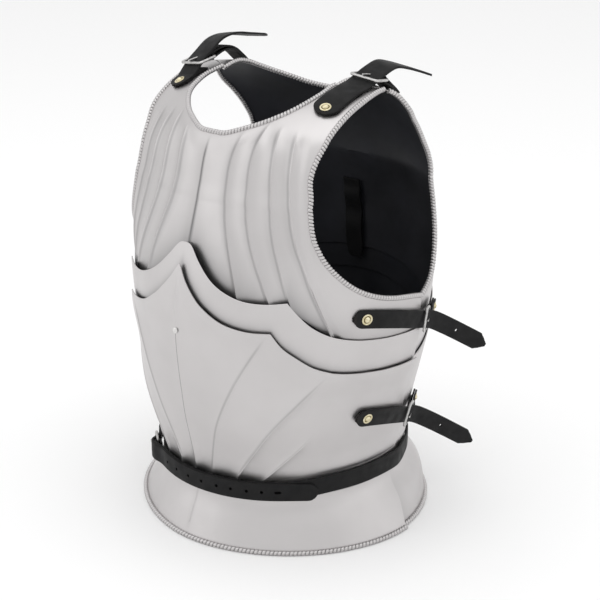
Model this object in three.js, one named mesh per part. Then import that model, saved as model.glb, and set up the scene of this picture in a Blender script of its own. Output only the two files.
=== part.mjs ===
// Steel breastplate with its backplate: fluted plates, skirts, leather straps, buckles and a waist belt.
// Millimetres. +Z is up, the wearer faces -Y, +X is the wearer's left side, the hem stands on Z = 0.
import * as THREE from 'three';

// Degrees
const quarterTurn = 90;
const fullTurn = 4 * quarterTurn;

// Plate thickness and the play between plates
const steelGauge = 1.2;
const plateGap = 0.4;
const skirtPlay = 0.3;
const hollowDepth = 2.4;
const rolledEdgeRise = 1.2;
const rolledEdgeWidth = 4;

// The form that the plates follow
const chestHeight = 400;
const chestHalfWidth = 184;
const chestFrontDepth = 170;
const chestBackDepth = 156;
const shoulderSetBack = 16;
const shoulderRise = 101;
const sideOverlap = 4;
const shoulderJointGap = 2.6;

// Heights of the plate edges
const lamePeakHeight = 357;
const lameSideHeight = 255;
const placardPeakHeight = 335;
const placardSideHeight = 213;
const backLameHeight = 292;
const backPlacardHeight = 262;
const backSideDrop = 9;
const backLameSideHeight = lameSideHeight - backSideDrop;
const backPlacardSideHeight = placardSideHeight - backSideDrop;
const waistJointHeight = 62;
const skirtTopHeight = 88;
const lameTuck = 20;

// Stand of each layer's outer face off the form, from the outermost front plate inwards to the backplate
const lameFrontStand = 5.4;
const placardFrontStand = 10;
const placardSideStand = 5.6;
const sidePlay = 1.1;
const layerStep = steelGauge + plateGap;
const lameSideStand = layerStep + plateGap;
const backPlacardStand = -(steelGauge + sidePlay);
const backLameStand = backPlacardStand - steelGauge - sidePlay;
const backplateStand = backLameStand - steelGauge - sidePlay;
const backLameCentreStand = layerStep + sidePlay;
const backPlacardCentreStand = backLameCentreStand + layerStep + sidePlay;

// Leather
const strapThickness = 2.4;
const strapGap = 0.35;
const sideStrapWidth = 21;
const shoulderStrapWidth = 30;
const beltWidth = 21;
const beltHeight = 72;
const upperStrapFreeLength = 108;
const lowerStrapFreeLength = 128;
const chapeLength = 34;

// Metal fittings
const wireDiameter = 3.2;
const rivetDiameter = 13;
const rivetHeight = 3;
const smallRivetDiameter = 6;

// Sections of the form up to the chest, as shares of the chest sizes
const torsoColumns = ['level', 'wide', 'front', 'back', 'frontSquare', 'backSquare'];
const torsoRows = [
  [0.0, 0.989, 1.03, 1.12, 1.88, 1.94],
  [0.07, 0.897, 0.959, 1.17, 1.9, 1.96],
  [0.125, 0.807, 0.903, 1.015, 1.95, 1.97],
  [0.17, 0.788, 0.894, 0.968, 2.0, 2.0],
  [0.22, 0.802, 0.903, 0.981, 2.0, 2.0],
  [0.2875, 0.813, 0.929, 0.987, 2.0, 2.0],
  [0.38, 0.859, 0.965, 1.0, 1.98, 1.98],
  [0.4675, 0.913, 0.982, 1.006, 1.94, 1.98],
  [0.555, 0.959, 0.997, 1.006, 1.9, 2.02],
  [0.65, 0.989, 1.006, 1.0, 1.9, 2.1],
  [0.7375, 1.0, 1.0, 1.0, 1.96, 2.18],
  [0.85, 1.003, 0.944, 0.98, 2.12, 2.2],
  [0.925, 1.002, 0.894, 0.936, 2.2, 2.22],
  [1.0, 1.0, 0.838, 0.865, 2.25, 2.25],
];

// Sections that roll over the shoulder about a line across the body; level 2 is straight above that line
const shoulderColumns = ['level', 'bulge', 'core'];
const frontShoulderRows = [
  [1.0, 0.838, 0.0],
  [1.089, 0.824, -0.02],
  [1.222, 0.794, 0.015],
  [1.311, 0.741, 0.079],
  [1.422, 0.53, 0.36],
  [1.533, 0.435, 0.455],
  [1.65, 0.341, 0.545],
  [1.789, 0.276, 0.604],
  [2.0, 0.212, 0.678],
];
const backShoulderRows = [
  [1.0, 0.865, 0.0],
  [1.192, 0.883, -0.04],
  [1.411, 0.897, -0.07],
  [1.658, 0.745, 0.168],
  [1.811, 0.526, 0.515],
  [2.0, 0.231, 0.995],
  [2.2, 0.213, 0.995],
];

// Side edge of the front plates: how far round each height they reach, in degrees from the front centre
const sideEdgeColumns = ['level', 'around'];
const sideEdgeRows = [
  [0.0, 93],
  [0.13, 98.5],
  [0.28, 104],
  [0.38, 100],
  [0.52, 98],
  [0.62, 97.5],
  [0.7225, 96.6],
];

// Rims of the arm openings
const rimColumns = ['level', 'around'];
const frontArmRimRows = [
  [0.7225, 96.6],
  [0.735, 89.5],
  [0.7445, 81.7],
  [0.755, 75.5],
  [0.771, 69.4],
  [0.794, 63.6],
  [0.827, 57.8],
  [0.869, 52],
  [0.905, 48.3],
  [0.9435, 45.4],
  [1.01, 42.9],
  [1.087, 42.1],
  [1.178, 40.8],
  [1.298, 41.2],
  [1.404, 42.6],
  [1.684, 43.4],
  [1.844, 43],
  [2.0, 41.7],
];
const backArmRimRows = [
  [0.675, 94],
  [0.685, 89],
  [0.695, 83.5],
  [0.705, 79.1],
  [0.725, 72.2],
  [0.75, 66.4],
  [0.78, 62.5],
  [0.825, 57.7],
  [0.875, 52.6],
  [0.93, 49.4],
  [0.99, 47.3],
  [1.192, 45.4],
  [1.411, 45.4],
  [1.658, 46.8],
  [1.811, 48.3],
  [2.0, 43.5],
];

// Top edge of the upper plates from the neck centre to the outer corner of the shoulder tab
const neckColumns = ['around', 'level'];
const frontNeckRows = [
  [0, 1.31],
  [4.7, 1.317],
  [10.9, 1.367],
  [14.6, 1.403],
  [18.1, 1.45],
  [21.4, 1.509],
  [23.8, 1.589],
  [25.2, 1.711],
  [24.8, 1.848],
  [29.9, 1.897],
  [33.7, 1.933],
  [37.3, 1.965],
  [41.7, 2.0],
];
const backNeckRows = [
  [0, 1.5],
  [7.3, 1.516],
  [13.3, 1.567],
  [19.7, 1.689],
  [23.1, 1.804],
  [24.8, 1.96],
  [24.8, 2.152],
  [30.5, 2.095],
  [36.5, 2.04],
  [41.7, 2.0],
];

// Rows of the upper plates: level at the centre line and at the arm rim
const upperRowColumns = ['centre', 'rim'];
const frontUpperRows = [
  [0.87, 0.7225],
  [0.88, 0.735],
  [0.895, 0.755],
  [0.915, 0.794],
  [0.94, 0.845],
  [0.97, 0.905],
  [1.01, 0.9675],
  [1.07, 1.06],
];
const backUpperRows = [
  [0.745, 0.675],
  [0.77, 0.69],
  [0.805, 0.7125],
  [0.845, 0.78],
  [0.9, 0.875],
  [0.97, 0.95],
  [1.1, 1.1],
];
const shoulderRowCount = 7;
const rimRowDip = 0.5;
const rowFall = 0.8;
const tuckSpan = [0.85, 1.15];
const swellRise = 0.7;
const hollowSpan = [0.18, 0.45];
const placardRowCount = 6;
const backPlacardRowCount = 3;
const lameRowCount = 3;

// Heights of the skirts' middle rows, between the rolled hem and the waist joint
const skirtRowHeights = [16, 28, 50];

// Flutes of the upper breastplate: crests and hollows in turn, degrees from the centre at chest height
const fluteAngles = [0, 5, 9.6, 13.4, 17.4, 21.4, 25.4, 30, 35];
const backAngles = [0, 9, 18, 25, 30, 34, 38];
const backPlateShares = [0, 0.12, 0.24, 0.36, 0.48, 0.6, 0.71, 0.8, 0.87, 0.935, 1];
const skirtShares = [0, 0.046, 0.114, 0.18, 0.24, 0.31, 0.4, 0.5, 0.6, 0.71, 0.81, 0.91, 1];

// Crests of the flutes at each level: degrees round of the ridge and of the four flutes beside it
const fluteColumns = ['level', 'ridge', 'first', 'second', 'third', 'fourth'];
const fluteRows = [
  [0.55, 0, 30, 43, 51, 61],
  [0.7, 0, 25, 37, 44, 53.5],
  [0.8, 0, 20.4, 30.9, 38.4, 47.4],
  [0.855, 0, 17.4, 26.9, 35.3, 44],
  [0.926, 0, 13.6, 22.2, 31.2, 39.1],
  [1.0, 0, 10.8, 18.9, 28.2, 35.6],
  [1.11, 0, 9.9, 17.8, 26.5, 33.7],
  [1.25, 0, 9.8, 17, 25, 32.6],
  [1.4, 0, 9.9, 16.3, 22.7, 31.2],
];
const rimColumnCount = 4;
const backRimColumnCount = 3;

// Scalloped top edges: share of the way round to the side edge, share of the edge's rise
const edgeColumns = ['share', 'rise'];
const lameEdgeRows = [
  [0, 1.0],
  [0.022, 0.975],
  [0.062, 0.83],
  [0.115, 0.68],
  [0.175, 0.574],
  [0.25, 0.5],
  [0.33, 0.483],
  [0.412, 0.507],
  [0.459, 0.352],
  [0.503, 0.225],
  [0.556, 0.125],
  [0.61, 0.066],
  [0.672, 0.025],
  [0.735, 0.002],
  [0.797, -0.014],
  [0.855, -0.022],
  [0.905, -0.028],
  [0.955, -0.032],
  [1.0, -0.034],
];

// Placard columns: share round the top edge, rise there, share round the waist, bend of the line between
// them, and depth of the hollow
const placardColumns = ['share', 'rise', 'waist', 'bend', 'hollow'];
const placardRows = [
  [0, 1.0, 0.0, 1.0, 0.0],
  [0.03, 0.872, 0.02, 1.2, 0.3],
  [0.071, 0.757, 0.036, 1.35, 0.5],
  [0.116, 0.66, 0.046, 1.45, 0.8],
  [0.194, 0.545, 0.058, 1.5, 1.0],
  [0.28, 0.492, 0.07, 1.5, 0.7],
  [0.363, 0.488, 0.082, 1.5, 0.0],
  [0.4, 0.358, 0.098, 1.42, 0.6],
  [0.445, 0.262, 0.114, 1.35, 1.0],
  [0.51, 0.149, 0.145, 1.27, 0.7],
  [0.58, 0.08, 0.18, 1.2, 0.0],
  [0.632, 0.056, 0.24, 1.15, 0.4],
  [0.684, 0.041, 0.31, 1.1, 0.6],
  [0.737, 0.03, 0.4, 1.05, 0.5],
  [0.79, 0.018, 0.5, 1.0, 0.3],
  [0.84, 0.012, 0.6, 1.0, 0.1],
  [0.89, 0.006, 0.71, 1.0, 0.0],
  [0.93, 0.003, 0.81, 1.0, 0.0],
  [0.965, 0.0, 0.91, 1.0, 0.0],
  [1.0, 0.0, 1.0, 1.0, 0.0],
];

// Strap ends: share of the way to the last seat, and share of the strap's width there
const strapEndSteps = [
  [0, 0.4], [0.025, 0.8], [0.07, 1], [0.25, 1], [0.4, 1], [0.55, 1], [0.7, 1], [0.85, 1], [1, 1],
];
const strapEndReach = 4.7;
const sideStrapRise = 0.9;
const upperStrapDip = 0.5;
const freeSteps = [0.07, 0.15, 0.25, 0.4, 0.55, 0.7, 0.84, 0.93, 1];
const pointShare = 0.13;
const pointWidth = 0.12;
const frameCorner = 4;
const wireSides = 6;
const fitGap = 0.3;
const foldPlay = 0.6;
const chapeThickness = 2;
const chapeSteps = [0.14, 0.42, 0.72, 1];
const chapeRise = 1.5;
const sideBarAlong = 0.16;
const rivetProfile = [[0, 0], [1, 0], [1, 0.25], [0.62, 0.3], [0.45, 0.8], [0, 1]];

// Side straps: rivet (degrees round and height), fall of the strap on its way to the side, place of the
// folded end on the back, and length past the side edge
const sideStrapColumns = ['name', 'around', 'height', 'droop', 'chapeAround', 'free'];
const sideStrapRows = [
  ['upper', 68.3, 283, 22.5, 74.5, upperStrapFreeLength],
  ['lower', 75, 157, 23.5, 69, lowerStrapFreeLength],
];

// Free end of a side strap, in shares of its length: along the body, away from it, and down
const freePathColumns = ['ahead', 'aside', 'drop'];
const sideFreeRows = [
  [0.16, 0.02, 0.05],
  [0.34, 0.09, 0.15],
  [0.56, 0.2, 0.29],
  [0.8, 0.34, 0.45],
];

// Shoulder straps: places past the shoulder ridge and above it, in shares of the reach
const shoulderStrapReach = 100;
const shoulderStrapAround = 33;
const shoulderRivetLevel = 1.6;
const shoulderEndReach = 0.045;
const shoulderPathColumns = ['past', 'rise'];
const shoulderStrapColumns = ['name', 'seatEnd', 'frontBar', 'barAlong', 'path', 'chape'];
const leftShoulderPath = [[-0.08, 0.04], [0.11, 0.11], [0.24, 0.16], [0.44, 0.135], [0.64, 0.08], [0.89, 0],
  [1.12, -0.08]];
const rightShoulderPath = [[-0.46, 0.06], [-0.29, 0.17], [-0.16, 0.25], [0.04, 0.285], [0.34, 0.245],
  [0.72, 0.18]];
const leftShoulderChape = [[0.12, 0.06], [0.2, 0.015], [0.32, -0.07], [0.42, -0.16]];
const rightShoulderChape = [[-0.19, 0.15], [-0.1, 0.15], [0.08, 0.12], [0.22, 0.013], [0.34, -0.1]];
const shoulderStrapRows = [
  ['left', 1.88, 0.1, 0.25, leftShoulderPath, leftShoulderChape],
  ['right', 1.66, 0.1, 0.25, rightShoulderPath, rightShoulderChape],
];

// Belt
const beltStand = 4.5;
const beltBackDrop = 4.2;
const beltDropSpan = [100, 115];
const beltBuckleAround = -34;
const beltTipAround = 56;
const beltBuckleLength = 21;
const beltFlapLength = 8;
const foldInset = 1.8;
const beltStep = 7.5;
// Belt stations: degrees past the buckle bar, whether in the first layer, share of the rise over the bar
const beltColumns = ['past', 'first', 'rise'];
const beltRows = [[3, true, 0.93], [6, true, 0.35], [9, true, 0.05]];
const beltCrossing = [
  [-6, true, 0],
  [-2.8, false, 0.5],
  [-0.6, false, 1.03],
  [3, false, 0.87],
  [6, false, 0.37],
  [9, false, 0.07],
];
for (let past = 2 * beltStep; past < fullTurn - beltStep; past += beltStep) beltRows.push([past, true, 0]);
for (const [past, first, rise] of beltCrossing) beltRows.push([fullTurn + past, first, rise]);
const beltLength = beltTipAround + fullTurn - beltBuckleAround;
for (let past = fullTurn + 2 * beltStep; past < beltLength - beltStep / 2; past += beltStep) {
  beltRows.push([past, false, 0]);
}
beltRows.push([beltLength, false, 0]);

// Strip inside the backplate, and the small rivets
const stripAround = -4.5;
const stripWidth = 24;
const stripPlay = 1.1;
const stripLowHeight = 257;
const stripTopHeight = 361;
const stripRivetShare = 0.75;
const stripRowCount = 5;
const ridgeRivetHeight = 260;

// Finishes
const steelFinish = { color: 0xcbc6c4, roughness: 0.32, metalness: 1.0 };
const leatherFinish = { color: 0x17140f, roughness: 0.55, metalness: 0.0 };
const brassFinish = { color: 0xa8873f, roughness: 0.35, metalness: 1.0 };
const blackedFinish = { color: 0x3a3835, roughness: 0.4, metalness: 1.0 };

const radians = THREE.MathUtils.degToRad;
const part = new THREE.Group();

// Read a short table: one object per row, with the named columns
function readTable(columns, rows) {
  return rows.map((row) => Object.fromEntries(columns.map((name, index) => [name, row[index]])));
}

// Smooth value of one column at a place along another
function valueAt(table, key, column, place) {
  const last = table.length - 1;
  const clamped = THREE.MathUtils.clamp(place, table[0][key], table[last][key]);
  let i = 0;
  while (i < last - 1 && clamped > table[i + 1][key]) i += 1;
  const slope = (k) => {
    const low = table[Math.max(0, k - 1)];
    const high = table[Math.min(last, k + 1)];
    return (high[column] - low[column]) / (high[key] - low[key]);
  };
  const span = table[i + 1][key] - table[i][key];
  const t = (clamped - table[i][key]) / span;
  const rise = table[i + 1][column] - table[i][column];
  const start = slope(i) * span;
  const end = slope(i + 1) * span;
  return table[i][column] + t * (start + t * (3 * rise - 2 * start - end + t * (start + end - 2 * rise)));
}

// Straight value of one column at a place along another
function straightAt(table, key, column, place) {
  const last = table.length - 1;
  const clamped = THREE.MathUtils.clamp(place, table[0][key], table[last][key]);
  let i = 0;
  while (i < last - 1 && clamped > table[i + 1][key]) i += 1;
  const t = (clamped - table[i][key]) / (table[i + 1][key] - table[i][key]);
  return THREE.MathUtils.lerp(table[i][column], table[i + 1][column], t);
}

const torso = readTable(torsoColumns, torsoRows);
const frontShoulder = readTable(shoulderColumns, frontShoulderRows);
const backShoulder = readTable(shoulderColumns, backShoulderRows);
const sideEdge = readTable(sideEdgeColumns, sideEdgeRows);
const flutes = readTable(fluteColumns, fluteRows);
const lameEdge = readTable(edgeColumns, lameEdgeRows);
const placardEdge = readTable(placardColumns, placardRows);
const front = {
  sign: -1,
  depth: chestFrontDepth,
  shoulder: frontShoulder,
  armRim: readTable(rimColumns, frontArmRimRows),
  neck: readTable(neckColumns, frontNeckRows),
  rows: readTable(upperRowColumns, frontUpperRows),
};
const back = {
  sign: 1,
  depth: chestBackDepth,
  shoulder: backShoulder,
  armRim: readTable(rimColumns, backArmRimRows),
  neck: readTable(neckColumns, backNeckRows),
  rows: readTable(upperRowColumns, backUpperRows),
};

// Signed power, so that a superellipse keeps its quadrants
function signedPower(value, power) {
  return Math.sign(value) * Math.abs(value) ** power;
}

// A point of the form: degrees round from this face's centre, level, and distance outside the form
function formPoint(face, around, level, stand) {
  const sine = Math.sin(radians(around));
  const cosine = Math.cos(radians(around));
  if (level <= 1) {
    const depthKey = (face === front) === (cosine >= 0) ? 'front' : 'back';
    const power = 2 / valueAt(torso, 'level', `${depthKey}Square`, level);
    const depthSize = depthKey === 'front' ? chestFrontDepth : chestBackDepth;
    const halfWidth = chestHalfWidth * valueAt(torso, 'level', 'wide', level) + stand;
    const depth = depthSize * valueAt(torso, 'level', depthKey, level) + stand;
    const y = face.sign * depth * signedPower(cosine, power);
    return new THREE.Vector3(halfWidth * signedPower(sine, power), y, level * chestHeight);
  }
  const power = 2 / torso[torso.length - 1].frontSquare;
  const turn = radians(quarterTurn * (level - 1));
  const bulge = face.depth * valueAt(face.shoulder, 'level', 'bulge', level) + stand;
  const core = -face.sign * shoulderSetBack + shoulderRise * valueAt(face.shoulder, 'level', 'core', level);
  const reach = core + bulge * signedPower(cosine, power);
  const x = (chestHalfWidth + stand) * signedPower(sine, power);
  const y = shoulderSetBack + face.sign * reach * Math.cos(turn);
  return new THREE.Vector3(x, y, chestHeight + reach * Math.sin(turn));
}

// A seat on the form: the point, the outward direction, and the directions round and up the surface
function seatOn(face, around, level, stand) {
  const step = 0.5;
  const lift = 0.004;
  const point = formPoint(face, around, level, stand);
  const place = (past, above) => formPoint(face, around + past, level + above, stand);
  const round = place(step, 0).sub(place(-step, 0));
  const up = place(0, lift).sub(place(0, -lift));
  round.normalize();
  up.addScaledVector(round, -up.dot(round)).normalize();
  const out = round.clone().cross(up).multiplyScalar(face.sign === -1 ? 1 : -1).normalize();
  return { point, out, round, up };
}

// One closed body from a grid of outer and inner points; the grid may close on itself across its columns
function gridBody(outer, inner, closed = false) {
  const rows = outer.length;
  const columns = outer[0].length;
  const positions = [];
  for (const sheet of [outer, inner]) {
    for (const row of sheet) {
      for (const point of row) positions.push(point.x, point.y, point.z);
    }
  }
  const at = (side, i, j) => side * rows * columns + i * columns + (j % columns);
  const faces = [];
  const quad = (a, b, c, d) => faces.push(a, b, c, a, c, d);
  const lastColumn = closed ? columns : columns - 1;
  for (let i = 0; i < rows - 1; i += 1) {
    for (let j = 0; j < lastColumn; j += 1) {
      quad(at(0, i, j), at(0, i, j + 1), at(0, i + 1, j + 1), at(0, i + 1, j));
      quad(at(1, i, j), at(1, i + 1, j), at(1, i + 1, j + 1), at(1, i, j + 1));
    }
  }
  for (let j = 0; j < lastColumn; j += 1) {
    quad(at(0, 0, j), at(1, 0, j), at(1, 0, j + 1), at(0, 0, j + 1));
    quad(at(0, rows - 1, j), at(0, rows - 1, j + 1), at(1, rows - 1, j + 1), at(1, rows - 1, j));
  }
  if (!closed) {
    for (let i = 0; i < rows - 1; i += 1) {
      quad(at(0, i, 0), at(0, i + 1, 0), at(1, i + 1, 0), at(1, i, 0));
      const j = columns - 1;
      quad(at(0, i, j), at(1, i, j), at(1, i + 1, j), at(0, i + 1, j));
    }
  }
  const geometry = new THREE.BufferGeometry();
  geometry.setAttribute('position', new THREE.Float32BufferAttribute(positions, 3));
  geometry.setIndex(faces);
  return facingOut(geometry);
}

// Turn a closed body's faces outwards
function facingOut(geometry) {
  const position = geometry.getAttribute('position');
  const index = geometry.getIndex();
  const corner = (k) => new THREE.Vector3().fromBufferAttribute(position, index.getX(k));
  let volume = 0;
  for (let k = 0; k < index.count; k += 3) volume += corner(k).dot(corner(k + 1).cross(corner(k + 2)));
  if (volume < 0) {
    for (let k = 0; k < index.count; k += 3) {
      const swap = index.getX(k);
      index.setX(k, index.getX(k + 1));
      index.setX(k + 1, swap);
    }
  }
  geometry.computeVertexNormals();
  return geometry;
}

// Put a named piece with its finish into the part
function addPiece(name, geometry, finish) {
  const mesh = new THREE.Mesh(geometry, new THREE.MeshStandardMaterial(finish));
  mesh.name = name;
  part.add(mesh);
}

// A row across the whole face from the points of one half, mirrored about the centre line
function mirroredRow(half) {
  const mirrored = half.slice(1).reverse();
  return [...mirrored.map((point) => new THREE.Vector3(-point.x, point.y, point.z)), ...half];
}

// How far a plate's outer face stands off the form, from its side edge to its centre line
function standOff(sideStand, centreStand, around) {
  return sideStand + (centreStand - sideStand) * Math.max(0, Math.cos(radians(around))) ** 2;
}

// A plate from half rows of { around, level, stand, hollow, rolled }; stand is its outer face's
function plateBody(face, halfRows) {
  const sheet = (inside) => halfRows.map((row) => mirroredRow(row.map((place) => {
    const roll = place.rolled ? rolledEdgeRise : 0;
    const outside = place.stand - (place.hollow ?? 0) * hollowDepth;
    const offset = inside ? outside - steelGauge - roll : outside + roll;
    return formPoint(face, place.around, place.level, offset);
  })));
  return gridBody(sheet(false), sheet(true));
}

// How far round this face's plates reach at a level
function edgeAround(face, level) {
  return face === front ? valueAt(sideEdge, 'level', 'around', level) : quarterTurn + sideOverlap;
}

// Degrees round of a crest, or of the hollow halfway between two crests, at a level
function fluteAngle(column, level) {
  const crest = (index) => valueAt(flutes, 'level', fluteColumns[1 + index], level);
  return (crest(Math.floor(column / 2)) + crest(Math.ceil(column / 2))) / 2;
}

// Share of a level that leaves the gap between the front and back shoulder tabs
const jointTrim = shoulderJointGap / ((shoulderSetBack + shoulderRise) * Math.PI * 0.5);

// Half rows of an upper plate: tucked behind the plate below, then row by row up to the arm opening,
// then fanned up to the neck and the shoulder tab
function upperRows(face, angles, rimColumnTotal, fluted, sideStand) {
  const last = angles.length - 1;
  const place = (around, level, hollow, rolled) => {
    const tuck = 1 - THREE.MathUtils.smoothstep(level, ...tuckSpan);
    return { around, level, hollow, rolled, stand: standOff(sideStand, 0, around) * tuck };
  };
  const rows = face.rows.map((row) => {
    const rimAround = valueAt(face.armRim, 'level', 'around', row.rim);
    const half = angles.map((angle, k) => {
      const level = THREE.MathUtils.lerp(row.centre, row.rim, (angle / rimAround) ** rowFall);
      return place(fluted ? fluteAngle(k, level) : angle, level, fluted && k % 2 === 1 ? 1 : 0, false);
    });
    const inner = half[last];
    for (let k = 1; k <= rimColumnTotal; k += 1) {
      const share = k / rimColumnTotal;
      const around = THREE.MathUtils.lerp(inner.around, rimAround, share);
      const level = THREE.MathUtils.lerp(inner.level, row.rim, share ** rimRowDip);
      half.push(place(around, level, 0, k === rimColumnTotal));
    }
    return half;
  });
  const lowest = rows[0].map((spot, k) => {
    const share = spot.around / rows[0][rows[0].length - 1].around;
    const level = (face.lowerEdge(share) - lameTuck) / chestHeight;
    const straight = share * edgeAround(face, level);
    return place(fluted && k <= last ? fluteAngle(k, level) : straight, level, spot.hollow, false);
  });
  const middle = lowest.map((low, k) => {
    const around = THREE.MathUtils.lerp(low.around, rows[0][k].around, 0.5);
    return place(around, THREE.MathUtils.lerp(low.level, rows[0][k].level, 0.5), low.hollow, false);
  });
  rows.unshift(lowest, middle);
  const base = rows[rows.length - 1];
  for (let step = 1; step <= shoulderRowCount; step += 1) {
    const share = step / shoulderRowCount;
    const top = step === shoulderRowCount;
    rows.push(base.map((start, k) => {
      const tabTrim = face === back && k >= last ? jointTrim : 0;
      const level = THREE.MathUtils.lerp(start.level, face.neck[k].level - tabTrim, share);
      const atRim = k === base.length - 1;
      const straight = THREE.MathUtils.lerp(start.around, face.neck[k].around, share);
      const around = atRim ? valueAt(face.armRim, 'level', 'around', level) : straight;
      return place(around, level, top ? 0 : start.hollow, atRim || (top && k <= last));
    }));
  }
  return rows;
}

// Height of a scalloped edge at a share of the way round
function edgeHeight(table, share, peakHeight, sideHeight) {
  return sideHeight + (peakHeight - sideHeight) * straightAt(table, 'share', 'rise', share);
}

// Height of a back plate's edge, which falls from the centre to the side
function fallenHeight(edge, share) {
  return THREE.MathUtils.lerp(edge.centre, edge.side, share * share * (3 - 2 * share));
}

const backLameTop = { centre: backLameHeight, side: backLameSideHeight };
const backPlacardTop = { centre: backPlacardHeight, side: backPlacardSideHeight };
front.lowerEdge = (share) => edgeHeight(lameEdge, share, lamePeakHeight, lameSideHeight);
back.lowerEdge = (share) => fallenHeight(backLameTop, share);

const lameHalfRows = [];
for (let i = 0; i <= lameRowCount; i += 1) {
  lameHalfRows.push(lameEdge.map(({ share }) => {
    const top = edgeHeight(lameEdge, share, lamePeakHeight, lameSideHeight);
    const bottom = edgeHeight(placardEdge, share, placardPeakHeight, placardSideHeight) - lameTuck;
    const level = THREE.MathUtils.lerp(bottom, top, i / lameRowCount) / chestHeight;
    const around = share * edgeAround(front, level);
    return { around, level, stand: standOff(lameSideStand, lameFrontStand, around) };
  }));
}

// Heights from the waist joint up to a plate's top edge: level rows over the skirt, then even ones
function placardHeights(count, top) {
  const heights = [waistJointHeight, (waistJointHeight + skirtTopHeight) / 2, skirtTopHeight];
  for (let i = 1; i <= count; i += 1) heights.push(THREE.MathUtils.lerp(skirtTopHeight, top, i / count));
  return heights;
}

const placardHalfRows = [];
for (let i = 0; i < placardRowCount + 3; i += 1) {
  placardHalfRows.push(placardEdge.map(({ share, waist, bend, hollow }) => {
    const top = edgeHeight(placardEdge, share, placardPeakHeight, placardSideHeight);
    const height = placardHeights(placardRowCount, top)[i];
    const rise = (height - waistJointHeight) / (top - waistJointHeight);
    const level = height / chestHeight;
    const around = THREE.MathUtils.lerp(waist, share, rise ** bend) * edgeAround(front, level);
    const swell = THREE.MathUtils.smoothstep(rise, 0, swellRise);
    const full = standOff(placardSideStand, placardFrontStand, around);
    const stand = THREE.MathUtils.lerp(layerStep, full, swell);
    return { around, level, stand, hollow: hollow * THREE.MathUtils.smoothstep(rise, ...hollowSpan) };
  }));
}

// Levels of the skirts from the hem roll up to the edge hidden inside the waist joint
function skirtRows(face, shares, stand) {
  const jointMiddle = (waistJointHeight + skirtTopHeight) / 2;
  const heights = [0, rolledEdgeWidth, ...skirtRowHeights, waistJointHeight, jointMiddle, skirtTopHeight];
  return heights.map((height, i) => shares.map((share) => {
    const level = height / chestHeight;
    return { around: share * edgeAround(face, level), level, stand, rolled: i < 2 };
  }));
}

const backLameHalfRows = [];
for (let i = 0; i <= lameRowCount; i += 1) {
  backLameHalfRows.push(backPlateShares.map((share) => {
    const low = fallenHeight(backPlacardTop, share) - lameTuck;
    const high = fallenHeight(backLameTop, share);
    const level = THREE.MathUtils.lerp(low, high, i / lameRowCount) / chestHeight;
    const around = share * edgeAround(back, level);
    return { around, level, stand: standOff(backLameStand, backLameCentreStand, around) };
  }));
}
const backPlacardHalfRows = [];
for (let i = 0; i < backPlacardRowCount + 3; i += 1) {
  backPlacardHalfRows.push(backPlateShares.map((share) => {
    const top = fallenHeight(backPlacardTop, share);
    const height = placardHeights(backPlacardRowCount, top)[i];
    const around = share * edgeAround(back, height / chestHeight);
    const risen = (height - waistJointHeight) / (top - waistJointHeight);
    const full = standOff(backPlacardStand, backPlacardCentreStand, around);
    const swell = THREE.MathUtils.smoothstep(risen, 0, swellRise);
    const stand = THREE.MathUtils.lerp(backPlacardStand, full, swell);
    return { around, level: height / chestHeight, stand };
  }));
}

const breastRows = upperRows(front, fluteAngles, rimColumnCount, true, 0);
addPiece('breastplate', plateBody(front, breastRows), steelFinish);
addPiece('breast_lame', plateBody(front, lameHalfRows), steelFinish);
addPiece('placard', plateBody(front, placardHalfRows), steelFinish);
addPiece('front_skirt', plateBody(front, skirtRows(front, skirtShares, -skirtPlay)), steelFinish);

const backUpper = upperRows(back, backAngles, backRimColumnCount, false, backplateStand);
addPiece('backplate', plateBody(back, backUpper), steelFinish);
addPiece('back_lame', plateBody(back, backLameHalfRows), steelFinish);
addPiece('back_placard', plateBody(back, backPlacardHalfRows), steelFinish);
addPiece('back_skirt', plateBody(back, skirtRows(back, backPlateShares, backLameStand)), steelFinish);

// A flat strap through its stations; each has a point on its inner face, directions and a half width
function strapBody(stations, thickness) {
  const edge = (station, side, lift) => station.point.clone()
    .addScaledVector(station.across, side * station.half)
    .addScaledVector(station.out, lift);
  const sheet = (lift) => stations.map((station) => [edge(station, -1, lift), edge(station, 1, lift)]);
  return gridBody(sheet(thickness), sheet(0));
}

// Half width of a strap's free end: straight, then cut to a point
function pointedHalf(width, along) {
  return (width / 2) * Math.min(1, pointWidth + (1 - along) / pointShare);
}

// Stations of a strap that leaves its last seat and follows a path in the open
function openStation(curve, start, along, width) {
  const point = curve.getPointAt(along);
  const tangent = curve.getTangentAt(along);
  const across = start.across.clone().addScaledVector(tangent, -start.across.dot(tangent)).normalize();
  const hand = start.across.clone().cross(curve.getTangentAt(0)).dot(start.out);
  const out = across.clone().cross(tangent).multiplyScalar(Math.sign(hand)).normalize();
  return { point, across, out, half: pointedHalf(width, along) };
}

// The same station on the wearer's other side
function mirroredStation(station, side) {
  const flip = (vector) => new THREE.Vector3(vector.x * side, vector.y, vector.z);
  const { point, across, out, half } = station;
  return { point: flip(point), across: flip(across), out: flip(out), half };
}

// A station moved along its outward direction
function lifted(station, lift) {
  return { ...station, point: station.point.clone().addScaledVector(station.out, lift) };
}

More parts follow.
